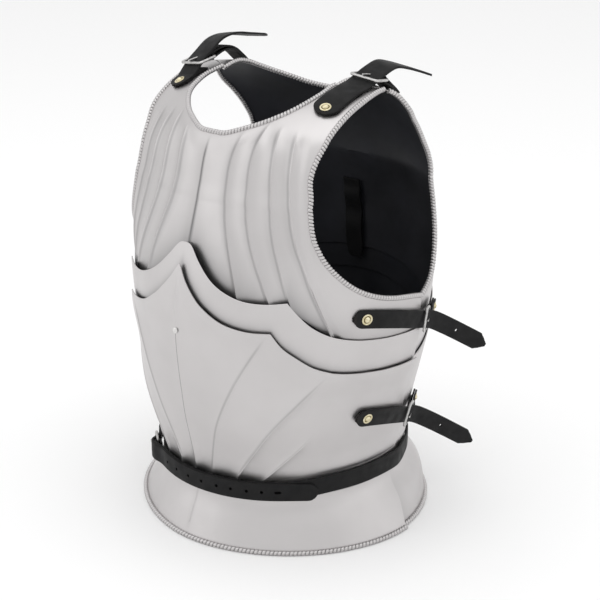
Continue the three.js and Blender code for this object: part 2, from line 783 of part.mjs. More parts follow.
// A closed tube from rings of points that close both ways
function ringBody(rings) {
  const rows = rings.length;
  const columns = rings[0].length;
  const positions = rings.flat().flatMap((point) => [point.x, point.y, point.z]);
  const faces = [];
  for (let i = 0; i < rows; i += 1) {
    for (let j = 0; j < columns; j += 1) {
      const a = i * columns + j;
      const b = i * columns + ((j + 1) % columns);
      const c = ((i + 1) % rows) * columns + ((j + 1) % columns);
      const d = ((i + 1) % rows) * columns + j;
      faces.push(a, b, c, a, c, d);
    }
  }
  const geometry = new THREE.BufferGeometry();
  geometry.setAttribute('position', new THREE.Float32BufferAttribute(positions, 3));
  geometry.setIndex(faces);
  return facingOut(geometry);
}

// A rectangular wire frame with rounded corners between two bars
function frameBody(firstBar, secondBar, strapHalf) {
  const middle = firstBar.point.clone().add(secondBar.point).multiplyScalar(0.5);
  const along = secondBar.point.clone().sub(firstBar.point);
  const halfAlong = along.length() / 2;
  along.normalize();
  const across = firstBar.across.clone().addScaledVector(along, -firstBar.across.dot(along)).normalize();
  const normal = along.clone().cross(across);
  const halfAcross = strapHalf + wireDiameter / 2 + 3 * fitGap;
  const outline = [];
  for (const [signAcross, signAlong] of [[1, 1], [-1, 1], [-1, -1], [1, -1]]) {
    const forward = signAcross * signAlong > 0;
    for (const step of forward ? [0, 1, 2] : [2, 1, 0]) {
      const turn = (Math.PI / 4) * step;
      const direction = across.clone().multiplyScalar(signAcross * Math.cos(turn))
        .addScaledVector(along, signAlong * Math.sin(turn));
      const centre = middle.clone()
        .addScaledVector(across, signAcross * (halfAcross - frameCorner))
        .addScaledVector(along, signAlong * (halfAlong - frameCorner));
      outline.push({ point: centre.addScaledVector(direction, frameCorner), direction });
    }
  }
  const rings = [];
  for (let i = 0; i < wireSides; i += 1) {
    const turn = (2 * Math.PI * i) / wireSides;
    rings.push(outline.map(({ point, direction }) => point.clone()
      .addScaledVector(direction, (Math.cos(turn) * wireDiameter) / 2)
      .addScaledVector(normal, (Math.sin(turn) * wireDiameter) / 2)));
  }
  return ringBody(rings);
}

// A domed rivet standing on a seat
function addRivet(name, seat, diameter, height, finish) {
  const radius = diameter / 2;
  const profile = rivetProfile.map(([across, up]) => new THREE.Vector2(across * radius, up * height));
  const mesh = new THREE.Mesh(new THREE.LatheGeometry(profile, 8), new THREE.MeshStandardMaterial(finish));
  mesh.name = name;
  mesh.position.copy(seat.point);
  mesh.quaternion.setFromUnitVectors(new THREE.Vector3(0, 1, 0), seat.out);
  part.add(mesh);
}

// A folded strap end: along its outer layer to the bar, round it and back underneath
function chapeBody(bar, spine, half) {
  const foldRadius = wireDiameter / 2 + foldPlay + chapeThickness / 2;
  const layerHalf = (chapeThickness + fitGap) / 2;
  const away = spine[0].point.clone().sub(bar.point);
  away.addScaledVector(bar.across, -away.dot(bar.across)).normalize();
  const out = bar.across.clone().cross(away).normalize();
  if (out.dot(bar.out) < 0) out.negate();
  const places = [];
  const firstOffset = (foldRadius + layerHalf) / 2;
  const layers = spine.map((seat, k) => ({ seat, offset: k === 0 ? firstOffset : layerHalf }));
  for (const { seat, offset } of [...layers].reverse()) {
    places.push({ point: seat.point.clone().addScaledVector(seat.out, offset), normal: seat.out });
  }
  for (let k = 0; k <= 4; k += 1) {
    const turn = (Math.PI * k) / 4;
    const normal = out.clone().multiplyScalar(Math.cos(turn)).addScaledVector(away, -Math.sin(turn));
    places.push({ point: bar.point.clone().addScaledVector(normal, foldRadius), normal });
  }
  for (const { seat, offset } of layers) {
    const normal = seat.out.clone().negate();
    places.push({ point: seat.point.clone().addScaledVector(normal, offset), normal });
  }
  const sheet = (lift) => places.map(({ point, normal }) => [-1, 1].map((side) => point.clone()
    .addScaledVector(bar.across, side * half).addScaledVector(normal, lift)));
  return gridBody(sheet(chapeThickness / 2), sheet(-chapeThickness / 2));
}

// One fastened strap: the strap with its rivet, the buckle, and the folded end with its rivet
function addFastenedStrap(label, side, design) {
  const { width, seats, rivetSeat, path, barAlong, frontBar, spine } = design;
  const last = seats[seats.length - 1];
  const curve = new THREE.CatmullRomCurve3([last.point, ...path]);
  const free = freeSteps.map((along) => openStation(curve, last, along, width));
  const rear = openStation(curve, last, barAlong, width);
  const nearBar = typeof frontBar === 'number' ? openStation(curve, last, frontBar, width) : frontBar;
  const all = [...seats, ...free].map((station) => mirroredStation(station, side));
  addPiece(`${label}_strap`, strapBody(all, strapThickness), leatherFinish);
  addRivet(`${label}_strap_rivet`, mirroredStation(lifted(rivetSeat, strapThickness + fitGap), side),
    rivetDiameter, rivetHeight, brassFinish);
  const overStrap = strapThickness + 2 * foldPlay + wireDiameter / 2;
  const underStrap = strapGap + chapeThickness + 2 * foldPlay + wireDiameter / 2;
  const firstBar = mirroredStation(lifted(nearBar, overStrap), side);
  const secondBar = mirroredStation(lifted(rear, -underStrap), side);
  const along = secondBar.point.clone().sub(firstBar.point).normalize();
  secondBar.across = firstBar.across.clone().addScaledVector(along, -firstBar.across.dot(along)).normalize();
  addPiece(`${label}_buckle`, frameBody(firstBar, secondBar, width / 2), blackedFinish);
  const folded = spine.map((seat) => mirroredStation(seat, side));
  addPiece(`${label}_chape`, chapeBody(secondBar, folded, width / 2 - frameCorner), leatherFinish);
  const end = folded[folded.length - 2];
  addRivet(`${label}_chape_rivet`, lifted(end, chapeThickness + 3.5 * fitGap), rivetDiameter, rivetHeight,
    brassFinish);
}

// Seats of a folded end: the middle between its two layers, a strap gap clear of the plate
const spineLift = strapGap + chapeThickness + 2.5 * fitGap;

// Side straps
for (const [sideName, side] of [['left', 1], ['right', -1]]) {
  for (const strap of readTable(sideStrapColumns, sideStrapRows)) {
    const isUpper = strap.name === 'upper';
    const frontStand = isUpper ? lameSideStand : placardSideStand;
    const startStand = isUpper ? -upperStrapDip : placardSideStand;
    const backStand = (around) => (isUpper
      ? standOff(backLameStand, backLameCentreStand, around)
      : standOff(backPlacardStand, backPlacardCentreStand, around));
    const endAround = edgeAround(front, strap.height / chestHeight) + 1;
    const start = strap.around - strapEndReach;
    const seatAt = (around, half) => {
      const share = THREE.MathUtils.clamp((around - start) / (endAround - start), 0, 1);
      const height = strap.height - strap.droop * share ** 1.4;
      const stand = THREE.MathUtils.lerp(startStand, frontStand + sideStrapRise, share) + strapGap;
      const seat = seatOn(front, around, height / chestHeight, stand);
      return { point: seat.point, across: seat.up, out: seat.out, round: seat.round, half };
    };
    const seats = strapEndSteps.map(([reach, half]) => seatAt(
      THREE.MathUtils.lerp(start, endAround, reach), (half * sideStrapWidth) / 2));
    const end = seats[seats.length - 1];
    const path = readTable(freePathColumns, sideFreeRows).map(({ ahead, aside, drop }) => end.point.clone()
      .addScaledVector(end.round, strap.free * ahead)
      .addScaledVector(end.out, strap.free * aside)
      .add(new THREE.Vector3(0, 0, -strap.free * drop)));
    const level = (strap.height - strap.droop) / chestHeight;
    const spine = chapeSteps.map((reach) => {
      const around = strap.chapeAround - THREE.MathUtils.radToDeg((chapeLength * reach) / chestHalfWidth);
      const seat = seatOn(back, around, level, backStand(around) + spineLift + (1 - reach) * chapeRise);
      return { point: seat.point, across: seat.up, out: seat.out, half: 0 };
    });
    addFastenedStrap(`${strap.name}_side_${sideName}`, side, {
      width: sideStrapWidth,
      seats,
      rivetSeat: seatAt(strap.around, 0),
      path,
      barAlong: sideBarAlong,
      frontBar: seatAt(endAround - 1, 0),
      spine,
    });
  }
}

// Shoulder straps
const ridge = formPoint(front, shoulderStrapAround, 2, 0);
for (const strap of readTable(shoulderStrapColumns, shoulderStrapRows)) {
  const seatAt = (level, half) => {
    const seat = seatOn(front, shoulderStrapAround, level, rolledEdgeRise + strapGap);
    return { point: seat.point, across: seat.round, out: seat.out, half };
  };
  const start = shoulderRivetLevel - shoulderEndReach;
  const seats = strapEndSteps.map(([reach, half]) => seatAt(
    THREE.MathUtils.lerp(start, strap.seatEnd, reach), (half * shoulderStrapWidth) / 2));
  const onRidge = ({ past, rise }) => new THREE.Vector3(ridge.x, ridge.y + shoulderStrapReach * past,
    ridge.z + shoulderStrapReach * rise);
  const path = readTable(shoulderPathColumns, strap.path).map(onRidge);
  const spineEnds = readTable(shoulderPathColumns, strap.chape).map(onRidge);
  const spineCurve = new THREE.CatmullRomCurve3(spineEnds);
  const spine = chapeSteps.map((along) => openStation(spineCurve, seats[seats.length - 1], along, 0));
  addFastenedStrap(`shoulder_${strap.name}`, strap.name === 'left' ? 1 : -1, {
    width: shoulderStrapWidth,
    seats,
    rivetSeat: seatAt(shoulderRivetLevel, 0),
    path,
    barAlong: strap.barAlong,
    frontBar: strap.frontBar,
    spine,
  });
}

// Belt: from the fold round the buckle bar, once round the waist, through the buckle and over its own start
const beltLevel = beltHeight / chestHeight;
const beltSeat = (around, stand) => {
  const seat = seatOn(front, around, beltLevel, stand);
  seat.out.setZ(0).normalize();
  return { point: seat.point, across: new THREE.Vector3(0, 0, 1), out: seat.out, half: beltWidth / 2 };
};
const foldInner = wireDiameter / 2 + foldPlay;
const beltBarStand = beltStand + strapThickness + foldInner;
const beltBar = { ...beltSeat(beltBuckleAround, beltBarStand), half: beltWidth / 2 - foldInset };
const beltRound = beltBar.across.clone().cross(beltBar.out);
const beltStations = [];
for (const flap of [beltFlapLength, beltFlapLength / 3]) {
  beltStations.push({
    ...beltBar,
    point: beltBar.point.clone().addScaledVector(beltBar.out, -foldInner).addScaledVector(beltRound, flap),
    out: beltBar.out.clone().negate(),
  });
}
for (let k = 0; k <= 4; k += 1) {
  const turn = Math.PI * (1 - k / 4);
  const out = beltBar.out.clone().multiplyScalar(Math.cos(turn)).addScaledVector(beltRound, -Math.sin(turn));
  beltStations.push({ ...beltBar, point: beltBar.point.clone().addScaledVector(out, foldInner), out });
}
for (const { past, first, rise } of readTable(beltColumns, beltRows)) {
  const around = beltBuckleAround + past;
  const fromFront = Math.min(Math.abs(around), Math.abs(around - fullTurn));
  const behind = THREE.MathUtils.smoothstep(fromFront, ...beltDropSpan);
  const layer = first ? beltStand : beltStand + strapThickness + strapGap;
  const stand = layer + rise * (beltBarStand + foldInner - beltStand) - behind * beltBackDrop;
  const half = pointedHalf(beltWidth, past / beltLength);
  beltStations.push({ ...beltSeat(around, stand), half });
}
addPiece('belt_strap', strapBody(beltStations, strapThickness), leatherFinish);
const beltNearAround = beltBuckleAround - THREE.MathUtils.radToDeg(beltBuckleLength / chestFrontDepth);
const beltNearBar = beltSeat(beltNearAround, beltStand + strapThickness + 3 * fitGap + wireDiameter / 2);
addPiece('belt_buckle', frameBody(beltBar, beltNearBar, beltWidth / 2), blackedFinish);

// Strip of leather inside the backplate, and its rivet
const stripStations = [];
for (let i = 0; i <= stripRowCount; i += 1) {
  const height = THREE.MathUtils.lerp(stripLowHeight, stripTopHeight, i / stripRowCount);
  const seat = seatOn(back, stripAround, height / chestHeight, -(steelGauge + stripPlay));
  const { point, round, out } = seat;
  stripStations.push({ point, across: round, out: out.negate(), half: stripWidth / 2 });
}
addPiece('inner_strip', strapBody(stripStations, chapeThickness), leatherFinish);
const stripPlace = stripRivetShare * stripRowCount;
const stripBelow = stripStations[Math.floor(stripPlace)];
const stripAbove = stripStations[Math.ceil(stripPlace)];
const stripSeat = {
  ...stripBelow,
  point: stripBelow.point.clone().lerp(stripAbove.point, stripPlace - Math.floor(stripPlace)),
  out: stripBelow.out.clone().lerp(stripAbove.out, 0.5).normalize(),
};
const stripRivetSeat = lifted(stripSeat, chapeThickness + 2 * fitGap);
addRivet('inner_strip_rivet', stripRivetSeat, smallRivetDiameter, rivetHeight, steelFinish);

// Rivet on the placard's ridge
const ridgeSeat = seatOn(front, 0, ridgeRivetHeight / chestHeight, placardFrontStand + fitGap);
addRivet('ridge_rivet', ridgeSeat, smallRivetDiameter, rivetHeight, steelFinish);

// Stand the part on its bounding box: bottom centre at the origin
part.updateMatrixWorld(true);
const bounds = new THREE.Box3().setFromObject(part, true);
const middle = bounds.getCenter(new THREE.Vector3());
for (const mesh of part.children) mesh.position.sub(new THREE.Vector3(middle.x, middle.y, bounds.min.z));

export default part;
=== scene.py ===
"""Steel breastplate with its backplate: fluted plates, roped edges, leather straps and a waist belt.

Metres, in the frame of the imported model: +Z up, the wearer faces -Y, +X is the wearer's left.
"""

import logging
import math
from collections.abc import Iterable, Iterator
from contextlib import contextmanager
from dataclasses import dataclass, field
from enum import Enum

import bpy
import numpy as np
from mathutils import Matrix, Vector


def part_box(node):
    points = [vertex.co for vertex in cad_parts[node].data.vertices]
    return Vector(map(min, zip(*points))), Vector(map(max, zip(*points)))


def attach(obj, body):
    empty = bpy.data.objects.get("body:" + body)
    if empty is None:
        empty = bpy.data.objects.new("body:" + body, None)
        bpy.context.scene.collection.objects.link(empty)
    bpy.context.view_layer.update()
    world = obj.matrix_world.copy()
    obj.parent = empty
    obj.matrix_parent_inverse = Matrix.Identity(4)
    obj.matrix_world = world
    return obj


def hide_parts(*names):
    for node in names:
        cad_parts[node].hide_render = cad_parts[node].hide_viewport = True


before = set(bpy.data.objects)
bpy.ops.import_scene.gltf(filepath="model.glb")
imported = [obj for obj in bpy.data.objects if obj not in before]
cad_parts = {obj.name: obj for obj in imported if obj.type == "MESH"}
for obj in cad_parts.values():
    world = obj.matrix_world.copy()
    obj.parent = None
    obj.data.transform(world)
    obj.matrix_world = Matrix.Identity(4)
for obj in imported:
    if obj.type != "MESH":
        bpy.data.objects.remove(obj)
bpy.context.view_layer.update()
LOG = logging.getLogger("breastplate")

Array = np.ndarray
Material = bpy.types.Material
Piece = bpy.types.Object
Socket = bpy.types.NodeSocket
Rows = tuple[tuple[float, ...], ...]
Triple = tuple[float, float, float]
Colour = Triple

# Sections of the form up to the chest: level, width, front depth, back depth, squareness of front and back
TORSO: Rows = (
    (0.0, 0.989, 1.03, 1.12, 1.88, 1.94), (0.07, 0.897, 0.959, 1.17, 1.9, 1.96),
    (0.125, 0.807, 0.903, 1.015, 1.95, 1.97), (0.17, 0.788, 0.894, 0.968, 2.0, 2.0),
    (0.22, 0.802, 0.903, 0.981, 2.0, 2.0), (0.2875, 0.813, 0.929, 0.987, 2.0, 2.0),
    (0.38, 0.859, 0.965, 1.0, 1.98, 1.98), (0.4675, 0.913, 0.982, 1.006, 1.94, 1.98),
    (0.555, 0.959, 0.997, 1.006, 1.9, 2.02), (0.65, 0.989, 1.006, 1.0, 1.9, 2.1),
    (0.7375, 1.0, 1.0, 1.0, 1.96, 2.18), (0.85, 1.003, 0.944, 0.98, 2.12, 2.2),
    (0.925, 1.002, 0.894, 0.936, 2.2, 2.22), (1.0, 1.0, 0.838, 0.865, 2.25, 2.25),
)
# Sections that roll over the shoulder: level, bulge, core
FRONT_SHOULDER: Rows = (
    (1.0, 0.838, 0.0), (1.089, 0.824, -0.02), (1.222, 0.794, 0.015), (1.311, 0.741, 0.079),
    (1.422, 0.53, 0.36), (1.533, 0.435, 0.455), (1.65, 0.341, 0.545), (1.789, 0.276, 0.604),
    (2.0, 0.212, 0.678),
)
BACK_SHOULDER: Rows = (
    (1.0, 0.865, 0.0), (1.192, 0.883, -0.04), (1.411, 0.897, -0.07), (1.658, 0.745, 0.168),
    (1.811, 0.526, 0.515), (2.0, 0.231, 0.995), (2.2, 0.213, 0.995),
)
# Side edge of the front plates: level, degrees round
SIDE_EDGE: Rows = (
    (0.0, 93), (0.13, 98.5), (0.28, 104), (0.38, 100), (0.52, 98), (0.62, 97.5), (0.7225, 96.6),
)
# Rims of the arm openings: level, degrees round
FRONT_ARM_RIM: Rows = (
    (0.7225, 96.6), (0.735, 89.5), (0.7445, 81.7), (0.755, 75.5), (0.771, 69.4), (0.794, 63.6),
    (0.827, 57.8), (0.869, 52), (0.905, 48.3), (0.9435, 45.4), (1.01, 42.9), (1.087, 42.1),
    (1.178, 40.8), (1.298, 41.2), (1.404, 42.6), (1.684, 43.4), (1.844, 43), (2.0, 41.7),
)
BACK_ARM_RIM: Rows = (
    (0.675, 94), (0.685, 89), (0.695, 83.5), (0.705, 79.1), (0.725, 72.2), (0.75, 66.4), (0.78, 62.5),
    (0.825, 57.7), (0.875, 52.6), (0.93, 49.4), (0.99, 47.3), (1.192, 45.4), (1.411, 45.4),
    (1.658, 46.8), (1.811, 48.3), (2.0, 43.5),
)
# Top edge from the neck's centre to the outer corner of the shoulder tab: degrees round, level
FRONT_NECK: Rows = (
    (0, 1.31), (4.7, 1.317), (10.9, 1.367), (14.6, 1.403), (18.1, 1.45), (21.4, 1.509), (23.8, 1.589),
    (25.2, 1.711), (24.8, 1.848), (29.9, 1.897), (33.7, 1.933), (37.3, 1.965), (41.7, 2.0),
)
BACK_NECK: Rows = (
    (0, 1.5), (7.3, 1.516), (13.3, 1.567), (19.7, 1.689), (23.1, 1.804), (24.8, 1.96), (24.8, 2.152),
    (30.5, 2.095), (36.5, 2.04), (41.7, 2.0),
)
# Rows of the upper plates: level at the centre line, level at the arm rim
FRONT_ROWS: Rows = (
    (0.87, 0.7225), (0.88, 0.735), (0.895, 0.755), (0.915, 0.794), (0.94, 0.845), (0.97, 0.905),
    (1.01, 0.9675), (1.07, 1.06),
)
BACK_ROWS: Rows = (
    (0.745, 0.675), (0.77, 0.69), (0.805, 0.7125), (0.845, 0.78), (0.9, 0.875), (0.97, 0.95), (1.1, 1.1),
)
FLUTE_ANGLES = (0, 5, 9.6, 13.4, 17.4, 21.4, 25.4, 30, 35)
# Crests of the breastplate's flutes: level, degrees round of the ridge and of four flutes
FLUTES: Rows = (
    (0.55, 0, 30, 43, 51, 61), (0.7, 0, 25, 37, 44, 53.5), (0.8, 0, 20.4, 30.9, 38.4, 47.4),
    (0.855, 0, 17.4, 26.9, 35.3, 44), (0.926, 0, 13.6, 22.2, 31.2, 39.1), (1.0, 0, 10.8, 18.9, 28.2, 35.6),
    (1.11, 0, 9.9, 17.8, 26.5, 33.7), (1.25, 0, 9.8, 17, 25, 32.6), (1.4, 0, 9.9, 16.3, 22.7, 31.2),
)
BACK_ANGLES = (0, 9, 18, 25, 30, 34, 38)
# Scalloped top edge of the lame: share of the way round, share of the rise
LAME_EDGE: Rows = (
    (0, 1.0), (0.022, 0.975), (0.062, 0.83), (0.115, 0.68), (0.175, 0.574), (0.25, 0.5), (0.33, 0.483),
    (0.412, 0.507), (0.459, 0.352), (0.503, 0.225), (0.556, 0.125), (0.61, 0.066), (0.672, 0.025),
    (0.735, 0.002), (0.797, -0.014), (0.855, -0.022), (0.905, -0.028), (0.955, -0.032), (1.0, -0.034),
)
# Placard: share round the top edge, rise there, share round the waist, bend of the line between them
PLACARD: Rows = (
    (0, 1.0, 0.0, 1.0), (0.03, 0.872, 0.02, 1.2), (0.071, 0.757, 0.036, 1.35), (0.116, 0.66, 0.046, 1.45),
    (0.194, 0.545, 0.058, 1.5), (0.28, 0.492, 0.07, 1.5), (0.363, 0.488, 0.082, 1.5),
    (0.4, 0.358, 0.098, 1.42), (0.445, 0.262, 0.114, 1.35), (0.51, 0.149, 0.145, 1.27),
    (0.58, 0.08, 0.176, 1.2), (0.632, 0.056, 0.195, 1.15), (0.684, 0.041, 0.213, 1.1),
    (0.737, 0.03, 0.228, 1.05), (0.79, 0.018, 0.25, 1.0), (0.84, 0.012, 0.37, 1.0),
    (0.89, 0.006, 0.53, 1.0), (0.93, 0.003, 0.69, 1.0), (0.965, 0.0, 0.845, 1.0), (1.0, 0.0, 1.0, 1.0),
)
PLACARD_CUSPS = (6, 10)
LAME_CUSPS = (7,)
# Crests of the placard's fan: column of the table, strength, height where the line fades out
FAN_CRESTS: Rows = ((0, 1.0, 0.4), (6, 1.0, 0.4), (10, 1.0, 0.4), (14, 0.6, 0.15))
# Painted shadow of the belt on the plate above it: degrees round, strength; degrees round, reach
BELT_PAINTED_SHADOW: Rows = ((0, 0.75), (20, 0.6), (60, 0.35), (95, 0.25))
BELT_PAINTED_SHADOW_REACH: Rows = ((0, 0.011), (12, 0.009), (30, 0.006), (95, 0.005))
# Painted shade beside the laps, where the lapping edge would shade the plate: share of the way round,
# strength
LAP_PAINTED_SHADE: Rows = (
    (0, 0.3), (0.05, 0.42), (0.15, 0.46), (0.28, 0.34), (0.36, 0.16), (0.42, 0.42), (0.5, 0.48), (0.58, 0.32),
    (0.7, 0.18), (1.0, 0.24),
)
# The belt at its fold and over its own start: degrees past the bar, layer, share of the rise over the bar
BELT_START: Rows = ((3, 0, 0.93), (6, 0, 0.35), (9, 0, 0.05))
BELT_OVER: Rows = (
    (354, 0, 0.0), (357.2, 1, 0.5), (359.4, 1, 1.03), (363, 1, 0.87), (366, 1, 0.37), (369, 1, 0.07),
)
# The strip inside: share of its length, bulge, half its width
STRIP: Rows = (
    (0, 0, 0.006), (0.05, 0, 0.0105), (0.2, 0.001, 0.0125), (0.4, 0.0025, 0.0118), (0.6, 0.0003, 0.0123),
    (0.78, 0.003, 0.0115), (0.9, 0.001, 0.012), (1, 0.001, 0.0118),
)


def smooth_value(table: Rows, column: int, place: Array) -> Array:
    """Smooth value of one column of a table.

    Args:
        table: rows in rising order of their first column.
        column: the column to read.
        place: where along the first column.

    Returns:
        The values at those places.
    """
    rows = np.asarray(table, float)
    x, y = rows[:, 0], rows[:, column]
    last = len(x) - 1
    p = np.clip(np.asarray(place, float), x[0], x[-1])
    i = np.clip(np.searchsorted(x, p, side="left") - 1, 0, last - 1)

    def slope(k: Array) -> Array:
        """Slope of the table at its rows."""
        low, high = np.maximum(0, k - 1), np.minimum(last, k + 1)
        return (y[high] - y[low]) / (x[high] - x[low])

    span = x[i + 1] - x[i]
    t = (p - x[i]) / span
    rise, start, end = y[i + 1] - y[i], slope(i) * span, slope(i + 1) * span
    return y[i] + t * (start + t * (3 * rise - 2 * start - end + t * (start + end - 2 * rise)))


def smooth_step(value: Array, low: float, high: float) -> Array:
    """Smooth rise from 0 at low to 1 at high."""
    t = np.clip((np.asarray(value, float) - low) / (high - low), 0, 1)
    return t * t * (3 - 2 * t)


def refined(values: Array, steps: int, cusps: tuple[int, ...] = ()) -> Array:
    """Values on a finer first axis, on a smooth curve that breaks at the cusps.

    Args:
        values: values at the coarse places.
        steps: how many steps each coarse one becomes.
        cusps: coarse places where the curve keeps a corner.

    Returns:
        The finer values.
    """
    bounds = [0, *cusps, len(values) - 1]
    parts = []
    for first, last in zip(bounds[:-1], bounds[1:]):
        run = values[first:last + 1]
        before, after = 2 * run[0] - run[1], 2 * run[-1] - run[-2]
        held = np.concatenate([before[None], run, after[None]])
        for k in range(len(run) - 1):
            a, b, c, d = held[k], held[k + 1], held[k + 2], held[k + 3]
            for t in np.arange(steps) / steps:
                parts.append(0.5 * (2 * b + (c - a) * t + (2 * a - 5 * b + 4 * c - d) * t * t
                                    + (3 * b - 3 * c + d - a) * t ** 3))
    parts.append(values[-1])
    return np.stack(parts)


@dataclass(frozen=True)
class Face:
    """One half of the body form, front or back."""

    sign: float
    depth: float
    shoulder: Rows
    arm_rim: Rows
    neck: Rows
    rows: Rows
    angles: tuple[float, ...]
    rim_columns: int
    tab_column: int


@dataclass(frozen=True)
class TorsoForm:
    """The form that all plates follow: places are degrees round, a level, and a stand outside it."""

    chest_height: float = 0.4
    half_width: float = 0.184
    front_depth: float = 0.17
    back_depth: float = 0.156
    set_back: float = 0.016
    shoulder_rise: float = 0.101
    back_edge: float = 94.0
    turn_step: float = 0.5
    level_step: float = 0.004
    front: Face = Face(-1, 0.17, FRONT_SHOULDER, FRONT_ARM_RIM, FRONT_NECK, FRONT_ROWS, FLUTE_ANGLES, 4, 8)
    back: Face = Face(1, 0.156, BACK_SHOULDER, BACK_ARM_RIM, BACK_NECK, BACK_ROWS, BACK_ANGLES, 3, 6)

    def point(self, face: Face, around: Array, level: Array, stand: Array) -> Array:
        """Points of the form.

        Args:
            face: the half that the degrees count from.
            around: degrees round from the face's centre line.
            level: share of the chest height, or 1 to 2 over the shoulder.
            stand: distance outside the form.

        Returns:
            An array with x, y and z last.
        """
        around, level, stand = np.broadcast_arrays(*(np.asarray(v, float) for v in (around, level, stand)))
        sine, cosine = np.sin(np.radians(around)), np.cos(np.radians(around))
        low = np.minimum(level, 1)
        is_front = (face.sign < 0) == (cosine >= 0)
        power = 2 / np.where(is_front, smooth_value(TORSO, 4, low), smooth_value(TORSO, 5, low))
        share = np.where(is_front, smooth_value(TORSO, 2, low), smooth_value(TORSO, 3, low))
        depth = np.where(is_front, self.front_depth, self.back_depth) * share + stand
        wide = self.half_width * smooth_value(TORSO, 1, low) + stand
        round_x = np.sign(sine) * np.abs(sine) ** power
        round_y = np.sign(cosine) * np.abs(cosine) ** power
        body = np.stack([wide * round_x, face.sign * depth * round_y, level * self.chest_height], -1)
        high = np.maximum(level, 1)
        turn = np.radians(90 * (high - 1))
        bulge = face.depth * smooth_value(face.shoulder, 1, high) + stand
        core = -face.sign * self.set_back + self.shoulder_rise * smooth_value(face.shoulder, 2, high)
        last = 2 / TORSO[-1][4]
        reach = core + bulge * np.sign(cosine) * np.abs(cosine) ** last
        over = np.stack([
            (self.half_width + stand) * np.sign(sine) * np.abs(sine) ** last,
            self.set_back + face.sign * reach * np.cos(turn),
            self.chest_height + reach * np.sin(turn),
        ], -1)
        return np.where((level <= 1)[..., None], body, over) + FORM_SHIFT

    def out(self, face: Face, around: Array, level: Array, stand: Array) -> Array:
        """Outward directions of the form at places."""
        across, up = self.ways(face, around, level, stand)
        normal = np.cross(across, up) * (1 if face.sign < 0 else -1)
        return normal / np.linalg.norm(normal, axis=-1, keepdims=True)

    def ways(self, face: Face, around: Array, level: Array,
             stand: Array) -> tuple[Array, Array]:
        """Small steps round and up the form at places."""
        across = self.point(face, np.add(around, self.turn_step), level, stand) - self.point(
            face, np.subtract(around, self.turn_step), level, stand)
        up = self.point(face, around, np.add(level, self.level_step), stand) - self.point(
            face, around, np.subtract(level, self.level_step), stand)
        return across, up

    def edge(self, face: Face, level: Array) -> Array:
        """How far round a face's plates reach at a level."""
        if face.sign < 0:
            return smooth_value(SIDE_EDGE, 1, level)
        return np.full(np.shape(level), self.back_edge)


FORM_SHIFT = np.zeros(3)
FORM = TorsoForm()


class Side(Enum):
    """The wearer's sides, and the sign of X there."""

    LEFT = 1
    RIGHT = -1


class Nodes:
    """Short way to put a material's nodes together."""

    def __init__(self, name: str) -> None:
        """Start a material with its principled shader."""
        self.material = bpy.data.materials.new(name)
        self.material.use_nodes = True
        self.tree = self.material.node_tree
        self.shader = self.tree.nodes["Principled BSDF"]
        self.coords = self.tree.nodes.new("ShaderNodeTexCoord")

    def link(self, out: Socket, into: Socket) -> None:
        """Join two sockets."""
        self.tree.links.new(out, into)

    def noise(self, scale: float, detail: float = 4, stretch: Triple = (1, 1, 1),
              roughness: float = 0.5) -> Socket:
        """Noise on the object's own coordinates.

        Args:
            scale: how fine the noise is, per metre.
            detail: octaves of the noise.
            stretch: scale of each axis, for noise drawn out along one of them.
            roughness: strength of the finer octaves.

        Returns:
            The noise's value socket.
        """
        mapping = self.tree.nodes.new("ShaderNodeMapping")
        mapping.inputs["Scale"].default_value = stretch
        texture = self.tree.nodes.new("ShaderNodeTexNoise")
        texture.inputs["Scale"].default_value = scale
        texture.inputs["Detail"].default_value = detail
        texture.inputs["Roughness"].default_value = roughness
        self.link(self.coords.outputs["Object"], mapping.inputs["Vector"])
        self.link(mapping.outputs["Vector"], texture.inputs["Vector"])
        return texture.outputs["Fac"]

    def spread(self, value: Socket, low: float, high: float, to_low: float,
               to_high: float) -> Socket:
        """A value moved from one range to another."""
        node = self.tree.nodes.new("ShaderNodeMapRange")
        for name, number in (("From Min", low), ("From Max", high), ("To Min", to_low), ("To Max", to_high)):
            node.inputs[name].default_value = number
        self.link(value, node.inputs["Value"])
        return node.outputs["Result"]

    def mixed(self, value: Socket, first: Colour | Socket,
              second: Colour) -> Socket:
        """A colour between two, by a value."""
        node = self.tree.nodes.new("ShaderNodeMix")
        node.data_type = "RGBA"
        if isinstance(first, tuple):
            node.inputs[6].default_value = (*first, 1)
        else:
            self.link(first, node.inputs[6])
        node.inputs[7].default_value = (*second, 1)
        self.link(value, node.inputs[0])
        return node.outputs[2]

    def clouded(self, scale: float, detail: float, span: tuple[float, float], first: Colour,
                second: Colour) -> Socket:
        """A colour that drifts between two with a noise."""
        return self.mixed(self.spread(self.noise(scale, detail), *span, 0, 1), first, second)

    def gloss(self, scale: float, detail: float, smooth: float, dull: float) -> None:
        """A roughness that drifts between two values."""
        value = self.spread(self.noise(scale, detail), 0.3, 0.7, smooth, dull)
        self.link(value, self.shader.inputs["Roughness"])

    def paint(self, tone: Socket) -> None:
        """Give the shader its colour."""
        self.link(tone, self.shader.inputs["Base Color"])

    def attribute(self, name: str) -> Socket:
        """A value stored on the mesh."""
        node = self.tree.nodes.new("ShaderNodeAttribute")
        node.attribute_name = name
        return node.outputs["Fac"]

    def bump(self, heights: list[tuple[Socket, float, float]]) -> None:
        """Bumps from height sockets, each with its strength and depth in metres."""
        normal = None
        for height, strength, distance in heights:
            node = self.tree.nodes.new("ShaderNodeBump")
            node.inputs["Strength"].default_value = strength
            node.inputs["Distance"].default_value = distance
            self.link(height, node.inputs["Height"])
            if normal is not None:
                self.link(normal, node.inputs["Normal"])
            normal = node.outputs["Normal"]
        self.link(normal, self.shader.inputs["Normal"])


